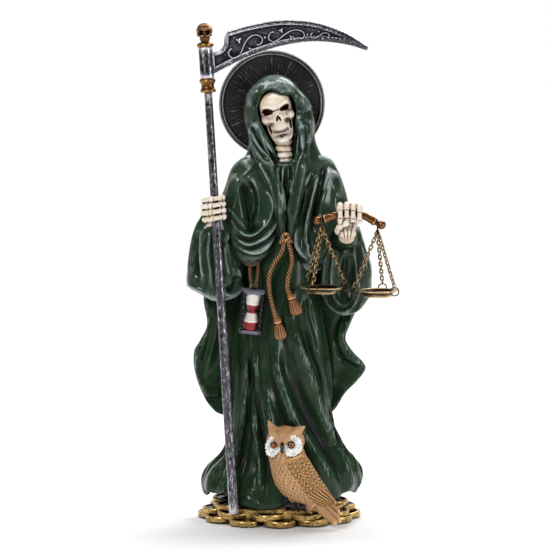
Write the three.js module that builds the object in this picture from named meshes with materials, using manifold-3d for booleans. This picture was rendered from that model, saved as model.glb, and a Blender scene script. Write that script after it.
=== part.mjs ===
// A robed skeleton saint on a base of coins, with scythe, balance, hourglass and owl: a painted resin
// casting with a loose scythe and a hanging balance. Millimetres, +Z up. The figure faces -Y, and the
// origin is the middle of the base's underside.
import * as THREE from "three";
import { mergeVertices } from "three/addons/utils/BufferGeometryUtils.js";
import Module from "manifold-3d";

const wasm = await Module();
wasm.setup();

// Driving dimensions
const figureHeight = 240; // table to the back of the scythe blade
const baseWidth = 79;
const baseDepth = 66;
const coinDiameter = 17;
const coinThickness = 3;
const fitGap = 0.3; // between loose pieces and what holds them
const poleDiameter = 4.2;
const socketDiameter = 6.6;
const bladeThickness = 2.6;
const haloDiameter = 51.5;
const haloThickness = 2.4;
const beamDiameter = 3.6;
const beamNeckDiameter = 2.2;
const panDiameter = 20.4;
const panHeight = 3.2;
const panWall = 1.1;
const wireDiameter = 0.7;
const hangerDiameter = 5.2; // the ring round the end of the beam, across its wire's middle
const rimRingDiameter = 4.0; // the ring through the pan's rim, across its wire's middle
const linkLength = 8.6;
const linkWidth = 2.4;
const panLip = 2.2; // the flat rim that the rings pass through
const ropeDiameter = 1.8;
const hourglassWidth = 10.6;
const hourglassHeight = 21;
const robeGrain = 0.6; // the shortest edge kept on the casting
const bladeGrain = 0.3; // and on the scythe

// The carving is drawn at a height of 240 and keeps its shares of the figure's own height.
const share = figureHeight / 240;
const at = (x, y, z) => new THREE.Vector3(x, y, z).multiplyScalar(share);
const turn = Math.PI * 2;
const mix = (a, b, t) => a + (b - a) * t;
const clamp = (v, low, high) => Math.min(high, Math.max(low, v));

// A smooth curve through [station, value] pairs.
function profile(pairs) {
  return (s) => {
    let i = 0;
    while (i < pairs.length - 2 && s > pairs[i + 1][0]) i += 1;
    const [s0, v0] = pairs[i];
    const [s1, v1] = pairs[i + 1];
    const t = clamp((s - s0) / (s1 - s0), 0, 1);
    const before = pairs[Math.max(i - 1, 0)];
    const after = pairs[Math.min(i + 2, pairs.length - 1)];
    const m0 = ((v1 - before[1]) / (s1 - before[0])) * (s1 - s0);
    const m1 = ((after[1] - v0) / (after[0] - s0)) * (s1 - s0);
    const t2 = t * t;
    const t3 = t2 * t;
    return (2 * t3 - 3 * t2 + 1) * v0 + (t3 - 2 * t2 + t) * m0 + (3 * t2 - 2 * t3) * v1 + (t3 - t2) * m1;
  };
}

// A closed solid from a geometry, with its faces turned outwards.
function solid(geometry) {
  const bare = geometry.index ? geometry.toNonIndexed() : geometry.clone();
  for (const name of Object.keys(bare.attributes)) if (name !== "position") bare.deleteAttribute(name);
  const merged = mergeVertices(bare, 1e-4);
  const triVerts = new Uint32Array(merged.index.array);
  const vertProperties = merged.attributes.position.array;
  const made = new wasm.Manifold(new wasm.Mesh({ numProp: 3, vertProperties, triVerts }));
  if (made.volume() > 0) return made;
  for (let i = 0; i < triVerts.length; i += 3) {
    [triVerts[i + 1], triVerts[i + 2]] = [triVerts[i + 2], triVerts[i + 1]];
  }
  return new wasm.Manifold(new wasm.Mesh({ numProp: 3, vertProperties, triVerts }));
}

const join = (solids) => solids.reduce((all, one) => all.add(one));

function geometryOf(made) {
  const mesh = made.getMesh();
  const positions = new Float32Array(mesh.numVert * 3);
  for (let i = 0; i < mesh.numVert; i += 1) {
    positions.set(mesh.vertProperties.subarray(i * mesh.numProp, i * mesh.numProp + 3), i * 3);
  }
  const geometry = new THREE.BufferGeometry();
  geometry.setAttribute("position", new THREE.BufferAttribute(positions, 3));
  geometry.setIndex(new THREE.BufferAttribute(mesh.triVerts, 1));
  geometry.computeVertexNormals();
  return geometry;
}

// Joins leave edges too short to see. Each is drawn into its start, where that folds no face over.
function soften(geometry, shortest) {
  const source = geometry.attributes.position;
  const pointAt = (_, i) => new THREE.Vector3().fromBufferAttribute(source, i);
  const points = Array.from({ length: source.count }, pointAt);
  const faces = [];
  for (let i = 0; i < geometry.index.count; i += 3) faces.push([...geometry.index.array.slice(i, i + 3)]);
  const around = points.map(() => new Set());
  faces.forEach((face, i) => face.forEach((v) => around[v].add(i)));
  const normalOf = ([a, b, c]) =>
    new THREE.Vector3().crossVectors(points[b].clone().sub(points[a]), points[c].clone().sub(points[a]));
  const neighbours = (v) => new Set([...around[v]].flatMap((i) => faces[i]).filter((w) => w !== v));
  const draw = (from, to) => {
    const shared = [...around[from]].filter((i) => around[to].has(i));
    const nearTo = neighbours(to);
    const common = [...neighbours(from)].filter((v) => nearTo.has(v));
    if (shared.length !== 2 || common.length !== 2) return false;
    const moved = [...around[from]].filter((i) => !around[to].has(i));
    for (const i of moved) {
      const before = normalOf(faces[i]);
      const after = normalOf(faces[i].map((v) => (v === from ? to : v)));
      if (before.length() > 1e-3 && before.dot(after) <= 0.4 * before.length() * after.length()) return false;
      if (after.length() < 1e-3) return false;
    }
    for (const i of shared) {
      for (const v of faces[i]) around[v].delete(i);
      faces[i] = null;
    }
    for (const i of moved) {
      faces[i] = faces[i].map((v) => (v === from ? to : v));
      around[to].add(i);
    }
    around[from].clear();
    return true;
  };
  let changed = true;
  while (changed) {
    changed = false;
    const edges = [];
    faces.forEach((face) => {
      if (!face) return;
      face.forEach((a, k) => {
        const b = face[(k + 1) % 3];
        const length = points[a].distanceTo(points[b]);
        if (a < b && length < shortest) edges.push([length, a, b]);
      });
    });
    edges.sort((p, q) => p[0] - q[0]);
    for (const [, a, b] of edges) {
      if (around[a].size && around[b].size && (draw(b, a) || draw(a, b))) changed = true;
    }
  }
  const softened = new THREE.BufferGeometry();
  softened.setAttribute("position", geometry.attributes.position);
  softened.setIndex(faces.filter(Boolean).flat());
  return softened;
}

// The outer skin of a casting: crumbs and pockets that its joins would seal in are dropped.
const outerSkin = (made) =>
  made.decompose().reduce((largest, one) => (one.volume() > largest.volume() ? one : largest));

const casting = (made, shortest) => solid(soften(geometryOf(outerSkin(made)), shortest));

// A closed skin over rings of points, each ring with as many points, fanned shut at both ends.
function skin(rings) {
  const n = rings[0].length;
  const positions = [];
  for (const ring of rings) for (const p of ring) positions.push(p.x, p.y, p.z);
  const index = [];
  for (let i = 0; i < rings.length - 1; i += 1) {
    for (let j = 0; j < n; j += 1) {
      const a = i * n + j;
      const b = i * n + ((j + 1) % n);
      index.push(a, b, b + n, a, b + n, a + n);
    }
  }
  const closeEnd = (ring, start, flip) => {
    const middle = ring.reduce((sum, p) => sum.clone().add(p), new THREE.Vector3()).divideScalar(n);
    const centre = positions.length / 3;
    positions.push(middle.x, middle.y, middle.z);
    for (let j = 0; j < n; j += 1) {
      const a = start + j;
      const b = start + ((j + 1) % n);
      if (flip) index.push(centre, b, a);
      else index.push(centre, a, b);
    }
  };
  closeEnd(rings[0], 0, true);
  closeEnd(rings[rings.length - 1], (rings.length - 1) * n, false);
  const geometry = new THREE.BufferGeometry();
  geometry.setAttribute("position", new THREE.BufferAttribute(new Float32Array(positions), 3));
  geometry.setIndex(index);
  return solid(geometry);
}

// A tapered tube along points. flat squeezes the section along the guide direction.
function sweep(points, radii, sides = 8, guide = new THREE.Vector3(0, 1, 0), flat = 1) {
  const rings = points.map((p, i) => {
    const ahead = points[Math.min(i + 1, points.length - 1)];
    const behind = points[Math.max(i - 1, 0)];
    const along = ahead.clone().sub(behind).normalize();
    const side = new THREE.Vector3().crossVectors(along, guide).normalize();
    const front = new THREE.Vector3().crossVectors(side, along).normalize();
    const r = Array.isArray(radii) ? radii[i] : radii;
    return Array.from({ length: sides }, (_, j) => {
      const angle = (turn * j) / sides;
      return p
        .clone()
        .addScaledVector(side, r * Math.cos(angle))
        .addScaledVector(front, r * flat * Math.sin(angle));
    });
  });
  return skin(rings);
}

function ball(centre, rx, ry, rz, around = 12, rows = 8) {
  const geometry = new THREE.SphereGeometry(1, around, rows);
  geometry.rotateX(Math.PI / 2);
  geometry.scale(rx, ry, rz);
  geometry.translate(centre.x, centre.y, centre.z);
  return solid(geometry);
}

// A turned form about +Z from [radius, height] pairs that start and end on the axis.
function turned(pairs, segments) {
  const geometry = new THREE.LatheGeometry(
    pairs.map(([r, z]) => new THREE.Vector2(r, z)),
    segments,
  );
  geometry.rotateX(Math.PI / 2);
  return geometry;
}

// A ring of wire with a polygon section, lying in the XY plane.
function wireRing(radius, wire, segments, sides = 4, stretch = 1) {
  const geometry = new THREE.TorusGeometry(radius, wire / 2, sides, segments);
  if (stretch !== 1) geometry.scale(1, stretch, 1);
  return geometry;
}

const placed = (geometry, rotation, position) => {
  const copy = geometry.clone();
  copy.applyMatrix4(new THREE.Matrix4().makeRotationFromEuler(new THREE.Euler(...rotation)));
  copy.translate(position.x, position.y, position.z);
  return copy;
};

// Cloth folds as a wave from 0 in the valley to 1 on the ridge, rounder on the ridge.
const fold = (turns) => Math.pow(0.5 + 0.5 * Math.cos(turns * turn), 0.8);

// The base is rows of coins lying on each other round a core.
const coinRows = [
  { count: 12, inset: 0, level: 0, tilt: 0, start: 0.0 },
  { count: 10, inset: 2, level: 1, tilt: 0, start: 0.21 },
  { count: 7, inset: 5.4, level: 1.9, tilt: 0.08, start: 0.1 },
];

function coinBase() {
  const r = coinDiameter / 2;
  const coreTop = coinThickness * 2.7;
  const core = new THREE.CylinderGeometry(1, 1, coreTop, 14);
  core.rotateX(Math.PI / 2);
  core.scale(baseWidth / 2 - r * 0.9, baseDepth / 2 - r * 0.9, 1);
  core.translate(0, 0, coreTop / 2);
  const solids = [solid(core)];
  for (const row of coinRows) {
    for (let i = 0; i < row.count; i += 1) {
      const angle = (turn * (i + row.start)) / row.count;
      const coin = new THREE.CylinderGeometry(r, r, coinThickness, 8);
      const tilt = row.tilt * Math.sin(i * 2.4);
      coin.rotateX(Math.PI / 2);
      coin.rotateZ(angle + i);
      coin.rotateX(tilt);
      coin.rotateY(tilt * 1.3);
      coin.translate(
        (baseWidth / 2 - r - row.inset) * Math.cos(angle),
        (baseDepth / 2 - r - row.inset) * Math.sin(angle),
        coinThickness * (row.level + 0.5),
      );
      solids.push(solid(coin));
    }
  }
  return join(solids);
}

// The gown: a pleated cone that spreads over the coins.
const gownLeft = profile([
  [5, -34], [12, -36.5], [19, -36.5], [25, -33.5], [31, -27.5], [38, -24], [50, -22], [76, -22.5],
  [98, -20], [118, -16], [139, -8.5], [150, -12], [165, -19], [175, -13],
]);
const gownRight = profile([
  [5, 35], [12, 36], [19, 39], [25, 38.5], [31, 34], [38, 28.5], [50, 24.7], [76, 24],
  [98, 20.5], [118, 18], [139, 16], [150, 17], [165, 22], [175, 16],
]);
const gownFront = profile([
  [5, -28], [12, -28], [22, -25.5], [35, -22], [60, -19], [98, -16.5], [139, -13], [165, -12], [175, -9],
]);
const gownBack = profile([
  [5, 27], [12, 27], [22, 24], [35, 20], [60, 16], [98, 13], [139, 10], [165, 9], [175, 7],
]);
const gownPleats = 11;
const pleatDepth = profile([[5, 0.1], [20, 0.13], [50, 0.12], [98, 0.09], [139, 0.05], [175, 0.03]]);
const pleatWander = profile([[5, 0.12], [50, 0.12], [80, 0.07], [175, 0.07]]); // in pleats, round the cone
const gownStations = [6, 12, 19, 27, 36, 52, 80, 112, 139, 160];

function gown() {
  const columns = gownPleats * 3;
  const rings = gownStations.map((z) => {
    const middle = (gownLeft(z) + gownRight(z)) / 2;
    const mid = (gownFront(z) + gownBack(z)) / 2;
    return Array.from({ length: columns }, (_, j) => {
      const turns = j / columns;
      const angle = turns * turn;
      const height = fold(gownPleats * turns + pleatWander(z) * Math.sin(3 * angle + 1));
      const out = 1 + pleatDepth(z) * (height - 0.45);
      const halfWidth = (gownRight(z) - gownLeft(z)) / 2;
      const halfDepth = (gownBack(z) - gownFront(z)) / 2;
      return at(middle + halfWidth * out * Math.cos(angle), mid + halfDepth * out * Math.sin(angle), z);
    });
  });
  return skin(rings);
}

// The cloak: hangs behind from the shoulders, its edges flaring in two waves on each side.
const cloakLeft = profile([
  [49, -26], [51, -31.5], [58.6, -37], [71, -41], [81, -41.2], [86, -38.5], [93.5, -35], [107, -36.5],
  [120, -33], [150, -25], [168, -18], [177, -11],
]);
const cloakRight = profile([
  [49, 24], [53, 28], [60, 32.4], [66, 38.4], [72, 42.4], [76, 40.6], [80, 36.6], [86.6, 32.8], [94, 35.2],
  [102, 38.7], [110, 42.5], [120, 39], [150, 30], [168, 21], [177, 14],
]);
const cloakBack = profile([[49, 23], [70, 22], [100, 19], [130, 16.5], [150, 14], [168, 9.5], [177, 6.5]]);
const cloakStations = [49, 54, 60, 66, 72, 78, 86, 94, 104, 113, 135, 160, 177];
const cloakEdge = 3.2; // thickness of the flying edges
const cloakColumns = 17;

function cloak() {
  const rings = cloakStations.map((z) => {
    const left = cloakLeft(z);
    const right = cloakRight(z);
    const back = cloakBack(z);
    const outer = Array.from({ length: cloakColumns }, (_, j) => {
      const u = j / (cloakColumns - 1);
      const arc = Math.pow(Math.sin(u * Math.PI), 0.7);
      const wave = 1.5 * Math.sin(u * turn * 4.5 + z * 0.02) * Math.sin(u * Math.PI);
      return at(mix(left, right, u), 4 + cloakEdge / 2 + (back - 4) * arc + wave, z);
    });
    const inner = Array.from({ length: 4 }, (_, j) => {
      const u = 1 - j / 3;
      const bend = Math.sin(u * Math.PI);
      return at(mix(left, right, u) * 0.995, 4 - cloakEdge / 2 + 4 * bend, z);
    });
    return [...outer, ...inner];
  });
  return skin(rings);
}

// An upper sleeve: U-shaped folds that hang from the shoulder, one inside the other, round a deep hollow.
const leftSleeve = {
  outline: [
    [-21, 173], [-26, 161], [-30.5, 149], [-27, 135], [-20, 126.5], [-12, 124], [-4, 130], [0.6, 144],
    [1.8, 158], [-2, 171], [-10, 178],
  ],
  shoulder: [-13, 171],
  rimDepth: -9,
  frontDepth: -17.5,
  backDepth: 6,
};
const rightSleeve = {
  outline: [
    [24, 176], [29.5, 167], [33, 155], [34, 143], [29, 131], [21, 123], [13, 121.5], [7.4, 130],
    [6.4, 144], [8.5, 160], [13, 175],
  ],
  shoulder: [19, 171],
  rimDepth: -9,
  frontDepth: -16,
  backDepth: 6,
};
const sleeveFolds = [
  [0.95, 0.85], [0.88, 0.66], [0.8, 1.06], [0.72, 0.78], [0.64, 1.14], [0.54, 0.8], [0.34, 0.42], [0.1, 0.45],
];
const lobeColumns = 17;

function upperSleeve({ outline, shoulder, rimDepth, frontDepth, backDepth }) {
  const curve = new THREE.CatmullRomCurve3(
    outline.map(([x, z]) => new THREE.Vector3(x, 0, z)),
    true,
  );
  const edge = Array.from({ length: lobeColumns }, (_, j) => curve.getPoint(j / lobeColumns));
  const ringAt = (t, depth) =>
    edge.map((p) => at(mix(shoulder[0], p.x, t), depth, mix(shoulder[1], p.z, t)));
  const folds = sleeveFolds.map(([t, height]) => ringAt(t, mix(rimDepth, frontDepth, height)));
  const round = mix(rimDepth, backDepth, 0.6);
  return skin([ringAt(0.7, backDepth), ringAt(0.94, round), ringAt(1, rimDepth), ...folds]);
}

// A hanging cuff: falls in pleats from the forearm to a slanting hem.
const leftCuff = {
  top: 150,
  hem: profile([[-1, 114.5], [-0.55, 112], [0, 108.5], [0.5, 108.5], [1, 112]]),
  left: profile([[0, -36.5], [0.25, -41], [0.5, -43], [0.8, -44.2], [1, -44.6]]),
  right: profile([[0, -26], [0.25, -22], [0.5, -19.5], [0.8, -17.5], [1, -17.5]]),
  front: profile([[0, -19.5], [0.3, -20], [1, -18.5]]),
  back: profile([[0, -10], [0.3, -4], [1, 1]]),
};
const rightCuff = {
  top: 143,
  hem: profile([[-1, 110], [-0.5, 103.5], [0, 101.5], [0.5, 103.5], [1, 110]]),
  left: profile([[0, 25], [0.3, 22], [0.6, 20.5], [1, 20]]),
  right: profile([[0, 38.5], [0.3, 41.5], [0.6, 44.5], [1, 44.5]]),
  front: profile([[0, -18.5], [0.4, -19], [1, -17.5]]),
  back: profile([[0, -6], [0.3, 2], [1, 4]]),
};
const cuffPleats = 6;
const cuffRows = 5;

function cuff({ top, hem, left, right, front, back }) {
  const columns = cuffPleats * 3;
  const rings = Array.from({ length: cuffRows }, (_, i) => {
    const v = i / (cuffRows - 1);
    return Array.from({ length: columns }, (_, j) => {
      const turns = j / columns;
      const across = Math.cos(turns * turn);
      const deep = Math.sin(turns * turn);
      const out = 1 + (0.03 + 0.09 * v) * (fold(cuffPleats * turns + 0.1) - 0.6);
      const x = mix(left(v), right(v), 0.5 + 0.5 * across * out);
      const y = mix(front(v), back(v), 0.5 + 0.5 * deep * out);
      return at(x, y, mix(top, hem(clamp(across, -1, 1)), v));
    });
  });
  return skin(rings);
}

// The hood and the shawl that it becomes on the shoulders, with the hollow round the face.
const hoodLeft = profile([
  [150, -22], [160, -25], [168, -23], [174, -18], [178, -15], [185, -14.6], [191, -16.4], [197, -17.2],
  [203, -16.4], [208, -14.4], [212, -10.8], [215, -6.5], [216.6, -3],
]);
const hoodRight = profile([
  [150, 26], [160, 29], [168, 27.5], [174, 22.5], [178, 19.4], [185, 17.2], [191, 17.4], [197, 16.4],
  [203, 14.2], [208, 10.6], [212, 6.4], [215, 2.6], [216.6, 0],
]);
const hoodFront = profile([
  [150, -12], [160, -13.5], [168, -14], [178, -14], [188, -14], [200, -15], [206, -16], [211, -13.5],
  [215, -7], [216.6, -3],
]);
const hoodBack = profile([
  [150, 12], [160, 11], [168, 9.5], [178, 8.5], [188, 9.3], [200, 9.5], [206, 9.3], [211, 7.5],
  [215, 3.5], [216.6, 0.5],
]);
const hoodStations = [150, 162, 171, 179, 189, 199, 207, 213, 216.6];
const hoodPleats = 6;

function hood() {
  const columns = hoodPleats * 3;
  const rings = hoodStations.map((z) =>
    Array.from({ length: columns }, (_, j) => {
      const turns = j / columns;
      const across = Math.cos(turns * turn);
      const deep = Math.sin(turns * turn);
      const depth = z < 204 ? 0.07 : 0.03;
      const out = 1 + depth * (fold(hoodPleats * turns + z * 0.012) - 0.5);
      return at(
        mix(hoodLeft(z), hoodRight(z), 0.5 + 0.5 * across * out),
        mix(hoodFront(z), hoodBack(z), 0.5 + 0.5 * deep * out),
        z,
      );
    }),
  );
  const faceStations = [
    [206.5, -1.5, 4.5], [202, -1.4, 8.4], [193, 0, 9.4], [183, 2.6, 7], [172, 4.2, 4],
  ];
  const hollow = faceStations.map(([z, x, halfWidth]) =>
    Array.from({ length: 10 }, (_, j) => {
      const angle = (turn * j) / 10;
      return at(x + halfWidth * Math.cos(angle), -13 + 9.5 * Math.sin(angle), z);
    }),
  );
  return skin(rings).subtract(skin(hollow));
}

// The shawl's front edges: folded bands from the hood down to the knot of the rope.
const shawlBands = [
  {
    path: [[-13, -9, 196], [-13, -12, 186], [-8.5, -14, 175], [-3, -15.5, 163], [0.4, -16, 150], [1.8, -14.5, 137]],
    radii: [2.6, 3.4, 4, 3.6, 2.6, 1.4],
  },
  {
    path: [[12.8, -9, 199], [13.2, -12.5, 187], [11.8, -14, 175], [9, -15.5, 162], [6.8, -16, 149], [5, -14.5, 137]],
    radii: [2.6, 3.4, 4, 3.6, 2.6, 1.3],
  },
];

const bands = () =>
  shawlBands.map(({ path, radii }) =>
    sweep(
      path.map((p) => at(...p)),
      radii.map((r) => r * share),
      5,
      new THREE.Vector3(0, 1, 0),
      0.8,
    ),
  );

// The skull is turned from stations of half width, front and back, and then hollowed.
const skullStations = [
  [-14.2, 2.8, -10, -5.5], [-12.4, 4.9, -10.8, -3], [-8.5, 6, -10.4, 0], [-4, 7.4, -10.1, 3],
  [-0.9, 9.2, -9.3, 6], [2, 8.9, -9.4, 8], [4.8, 8.8, -10.4, 9], [8.6, 8.6, -9.4, 9.2], [12, 6.4, -6.4, 7],
  [13.9, 2, -1.6, 2.6],
];
const skullPlace = { x: -0.9, y: -7.2, z: 196.4, roll: -0.235, yaw: 0.06 };

function skull() {
  const rings = skullStations.map(([z, halfWidth, front, back]) =>
    Array.from({ length: 12 }, (_, j) => {
      const angle = (turn * (j + 0.5)) / 12;
      const deep = Math.sin(angle);
      return at(halfWidth * Math.cos(angle), deep < 0 ? -deep * front : deep * back, z);
    }),
  );
  const hollows = [];
  for (const side of [-1, 1]) {
    hollows.push(ball(at(side * 4, -9.2, 1.3), 2.9 * share, 3.4 * share, 2.2 * share, 7, 5));
    hollows.push(ball(at(side * 6.4, -7.6, -6), 1.5 * share, 3 * share, 3.3 * share, 5, 4));
    hollows.push(sweep([at(side * 0.8, -11.5, -4.6), at(side * 0.2, -7.5, -1.4)], [1.2 * share, 0.6 * share], 4));
  }
  const mouth = new THREE.BoxGeometry(8.4 * share, 3 * share, 0.6 * share);
  mouth.translate(0, -10.4 * share, -7.9 * share);
  hollows.push(solid(mouth));
  const made = skin(rings).subtract(join(hollows));
  const { x, y, z, roll, yaw } = skullPlace;
  const matrix = new THREE.Matrix4().makeRotationFromEuler(new THREE.Euler(0.08, roll, yaw, "XYZ"));
  const geometry = geometryOf(made);
  geometry.deleteAttribute("normal");
  geometry.applyMatrix4(matrix);
  const place = at(x, y, z);
  geometry.translate(place.x, place.y, place.z);
  return solid(geometry);
}

// The neck: a stack of vertebrae under the jaw.
const vertebraPitch = 3.1;
const vertebraCount = 4;

function neck() {
  const stack = [[0, 0]];
  for (let i = 0; i < vertebraCount; i += 1) {
    const z = i * vertebraPitch;
    stack.push([3.2, z], [4.4, z + 0.9], [4.2, z + 2]);
  }
  stack.push([0, vertebraCount * vertebraPitch - 0.5]);
  const geometry = turned(
    stack.map(([r, z]) => [r * share, z * share]),
    6,
  );
  return solid(placed(geometry, [0, -0.06, 0], at(2.7, -8.6, 172.5)));
}

// A round plate of rays behind the hood, with a raised rim.
function halo() {
  const r = haloDiameter / 2;
  const half = haloThickness / 2;
  const rim = 1.9 * share;
  const pairs = [[0, -half], [r, -half], [r, half], [r - rim, half + 0.5], [r - rim - 0.6, half * 0.5], [0, half * 0.5]];
  return solid(placed(turned(pairs, 24), [Math.PI / 2, 0, 0], at(-3.4, 9, 201)));
}

// The scythe stands in its own frame: +Z runs up the pole from its foot.
const scythePlace = { x: -21.6, y: -25.5, lean: -0.0592, tip: -0.022 };
const scytheFoot = coinThickness * 1.95 + fitGap;
const poleTop = 202.5;

function poleSolid(extra = 0) {
  const r = poleDiameter / 2 + extra;
  const geometry = new THREE.CylinderGeometry(r * 1.04, r * 0.88, poleTop * share, 10);
  geometry.rotateX(Math.PI / 2);
  geometry.translate(0, 0, (poleTop / 2) * share);
  return geometry;
}

function socket() {
  const r = socketDiameter / 2;
  const low = poleTop - 1;
  const pairs = [
    [0, low], [3.3, low], [3.7, low + 0.8], [3.3, low + 1.8], [3.1, low + 2.4], [3.2, low + 4.4],
    [3.7, low + 5.2], [3.7, low + 6.2], [r, low + 6.8], [r, low + 21.6], [3.9, low + 22], [3.9, low + 23.4],
    [2.6, low + 24], [0, low + 24],
  ];
  return solid(
    turned(
      pairs.map(([radius, z]) => [radius, z * share]),
      9,
    ),
  );
}

function finialSkull() {
  const middle = poleTop + 27.2;
  const parts = [
    ball(at(0, 0, middle + 1), 3.9 * share, 4 * share, 3.7 * share, 9, 6),
    ball(at(0, -1.2, middle - 2.6), 2.5 * share, 2.7 * share, 2.4 * share, 7, 5),
  ];
  const holes = [-1, 1].map((side) =>
    ball(at(side * 1.7, -4, middle + 0.1), 1.35 * share, 1.7 * share, 1.3 * share, 5, 4),
  );
  return join(parts).subtract(join(holes));
}

// The blade's outline, inset for the sunk panel inside its rim.
function bladeShape(inset) {
  const s = (x, z) => [x * share, z * share];
  const shape = new THREE.Shape();
  shape.moveTo(...s(2 + inset * 1.2, 220.8 - inset));
  shape.lineTo(...s(6.3 + inset * 0.6, 221 - inset));
  shape.quadraticCurveTo(...s(9.4 + inset, 223.4 - inset), ...s(9.6 + inset, 228 - inset * 0.4));
  shape.lineTo(...s(11.2 + inset * 0.8, 230.3 - inset * 1.1));
  shape.bezierCurveTo(
    ...s(30, 235.2 - inset * 1.3),
    ...s(55 - inset, 233.8 - inset * 1.4),
    ...s(77 - inset * 5, 218.6 - inset * 0.3),
  );
  shape.lineTo(...s(76.4 - inset * 5.4, 216.8 + inset * 0.9));
  shape.bezierCurveTo(
    ...s(52, 225 + inset * 0.9),
    ...s(33 - inset * 0.4, 224 + inset * 1.1),
    ...s(2 + inset * 1.2, 209.5 + inset * 1.9),
  );
  shape.closePath();
  return shape;
}

function slab(shape, depth, y, curveSegments) {
  const geometry = new THREE.ExtrudeGeometry(shape, { depth, bevelEnabled: false, curveSegments });
  geometry.rotateX(Math.PI / 2);
  geometry.translate(0, y + depth, 0);
  return solid(geometry);
}

// Half of an S scroll, as shares of its half length. The other half is this one turned about the middle.
const scrollHalf = [[-0.46, -0.15], [-0.73, -0.08], [-0.96, -0.31], [-0.96, -0.62], [-0.65, -0.75], [-0.31, -0.54]];
const scrolls = [
  { x: 19.2, z: 222, length: 7.9, height: 7.6 },
  { x: 38.4, z: 226.4, length: 8.4, height: 4.6 },
  { x: 55, z: 225.3, length: 4.8, height: 3.1 },
];
const scrollWire = 0.75;

function bladeSolid() {
  const rimDepth = 0.45;
  const half = bladeThickness / 2;
  const panel = bladeShape(2.1);
  const parts = [slab(bladeShape(0), bladeThickness, -half, 9)];
  const sunk = [-half, half].map((y) => slab(panel, rimDepth * 2, y - rimDepth, 9));
  const raised = [];
  for (const { x, z, length, height } of scrolls) {
    const points = [...scrollHalf, [0, 0], ...scrollHalf.map(([a, b]) => [-a, -b]).reverse()];
    const curve = new THREE.CatmullRomCurve3(
      points.map(([a, b]) => at(x + a * length, 0, z + b * height)),
    );
    const line = curve.getPoints(12);
    for (const p of line) p.y = rimDepth - half;
    raised.push(sweep(line, (scrollWire / 2) * share, 4));
  }
  return join(parts).subtract(join(sunk)).add(join(raised));
}

const scytheGroup = () => {
  const group = new THREE.Group();
  group.position.set(scythePlace.x * share, scythePlace.y * share, scytheFoot);
  group.rotation.set(scythePlace.tip, scythePlace.lean, 0);
  group.updateMatrixWorld(true);
  return group;
};

function inScytheFrame(geometry) {
  const copy = geometry.clone();
  copy.applyMatrix4(scytheGroup().matrixWorld);
  return solid(copy);
}

// Fingers of bone: thin shafts swelling at the joints.
const fingerThickness = 2.8;
const fingerPitch = 3;
const bone = (points, thick = fingerThickness) =>
  sweep(
    points,
    points.map((_, i) => (thick * (i % 2 ? 0.95 : 1.12) * share) / 2),
    4,
  );

// The left hand holds the pole: each finger goes round its back and left side, and its tip shows at the right.
const poleGrip = { z: 152.2, reach: poleDiameter / 2 + fitGap + (fingerThickness / 2) * share };
const poleBends = [[150, 1.6], [186, 1.55], [226, 1.12], [280, 1.0], [326, 1.12]];

function poleAxisAt(z) {
  const up = new THREE.Vector3(0, 0, 1).applyEuler(new THREE.Euler(scythePlace.tip, scythePlace.lean, 0));
  const foot = new THREE.Vector3(scythePlace.x * share, scythePlace.y * share, scytheFoot);
  return foot.addScaledVector(up, (z * share - scytheFoot) / up.z);
}

function scytheHand() {
  const wrist = at(-32.6, -13, 143.5);
  const knuckles = [];
  const parts = [];
  for (let i = 0; i < 4; i += 1) {
    const z = poleGrip.z + (1.5 - i) * fingerPitch;
    const points = poleBends.map(([degrees, far], k) => {
      const angle = THREE.MathUtils.degToRad(degrees);
      const centre = poleAxisAt(z + k * 0.5 - 1);
      const reach = poleGrip.reach * (k < 3 ? far + [-0.1, 0.06, 0.06, -0.08][i] : far);
      return centre.add(new THREE.Vector3(reach * Math.cos(angle), reach * Math.sin(angle), 0));
    });
    knuckles.push(points[0]);
    parts.push(bone(points));
  }
  parts.push(palm(wrist, knuckles[0], knuckles[3]));
  parts.push(bone([wrist, at(-34, -18, 143.6), at(-32.4, -21, 145), at(-30.4, -21.8, 145.6)], 2.6));
  return join(parts);
}

// The back of a hand: a flat wedge from the wrist to the row of knuckles.
function palm(wrist, first, last) {
  const across = first.clone().sub(last).normalize();
  const middle = first.clone().add(last).multiplyScalar(0.5);
  const along = middle.clone().sub(wrist).normalize();
  const half = first.distanceTo(last) / 2 + 1.1 * share;
  const stations = [[-0.25, 0.62], [0.35, 0.8], [1.05, 1]];
  const length = middle.distanceTo(wrist);
  const guide = new THREE.Vector3().crossVectors(across, along).normalize();
  const rings = stations.map(([t, width]) => {
    const centre = wrist.clone().addScaledVector(along, t * length);
    return Array.from({ length: 6 }, (_, j) => {
      const angle = (turn * j) / 6;
      return centre
        .clone()
        .addScaledVector(across, half * width * Math.cos(angle))
        .addScaledVector(guide, 1.7 * share * Math.sin(angle));
    });
  });
  return skin(rings);
}

// The beam of the balance: an arched rod with a ball at each end, through the fist.
const beamPath = [
  [18.3, 147.1], [20.6, 147.7], [22.2, 148.2], [27.4, 149.9], [33, 151], [39.2, 149.9], [43.6, 147.7],
  [45.2, 146.6], [46.9, 145.6], [48.4, 145.2],
];
const beamDepth = -30.5;
const beamCurve = new THREE.CatmullRomCurve3(beamPath.map(([x, z]) => at(x, beamDepth, z)));
const leftHang = at(20, beamDepth, 147.5);
const rightHang = at(46.5, beamDepth, 145.9);

function beam(extra = 0) {
  const steps = 12;
  const points = beamCurve.getPoints(steps);
  const neck = beamNeckDiameter / 2;
  const radii = points.map((p) => {
    const near = Math.min(Math.abs(p.x - leftHang.x), Math.abs(p.x - rightHang.x));
    return extra + (near < 1 * share ? neck : beamDiameter / 2);
  });
  const ends = [points[0], points[steps]].map((p) =>
    ball(p, 2.15 * share + extra, 2.15 * share + extra, 2.15 * share + extra, 7, 5),
  );
  return join([sweep(points, radii, 6), ...ends]);
}

// The right hand holds the beam from below: knuckles above and behind it, fingertips down its front.
const beamBends = [[28, 1.42], [68, 1.28], [118, 1.12], [176, 1.02], [226, 1.28]];

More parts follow.
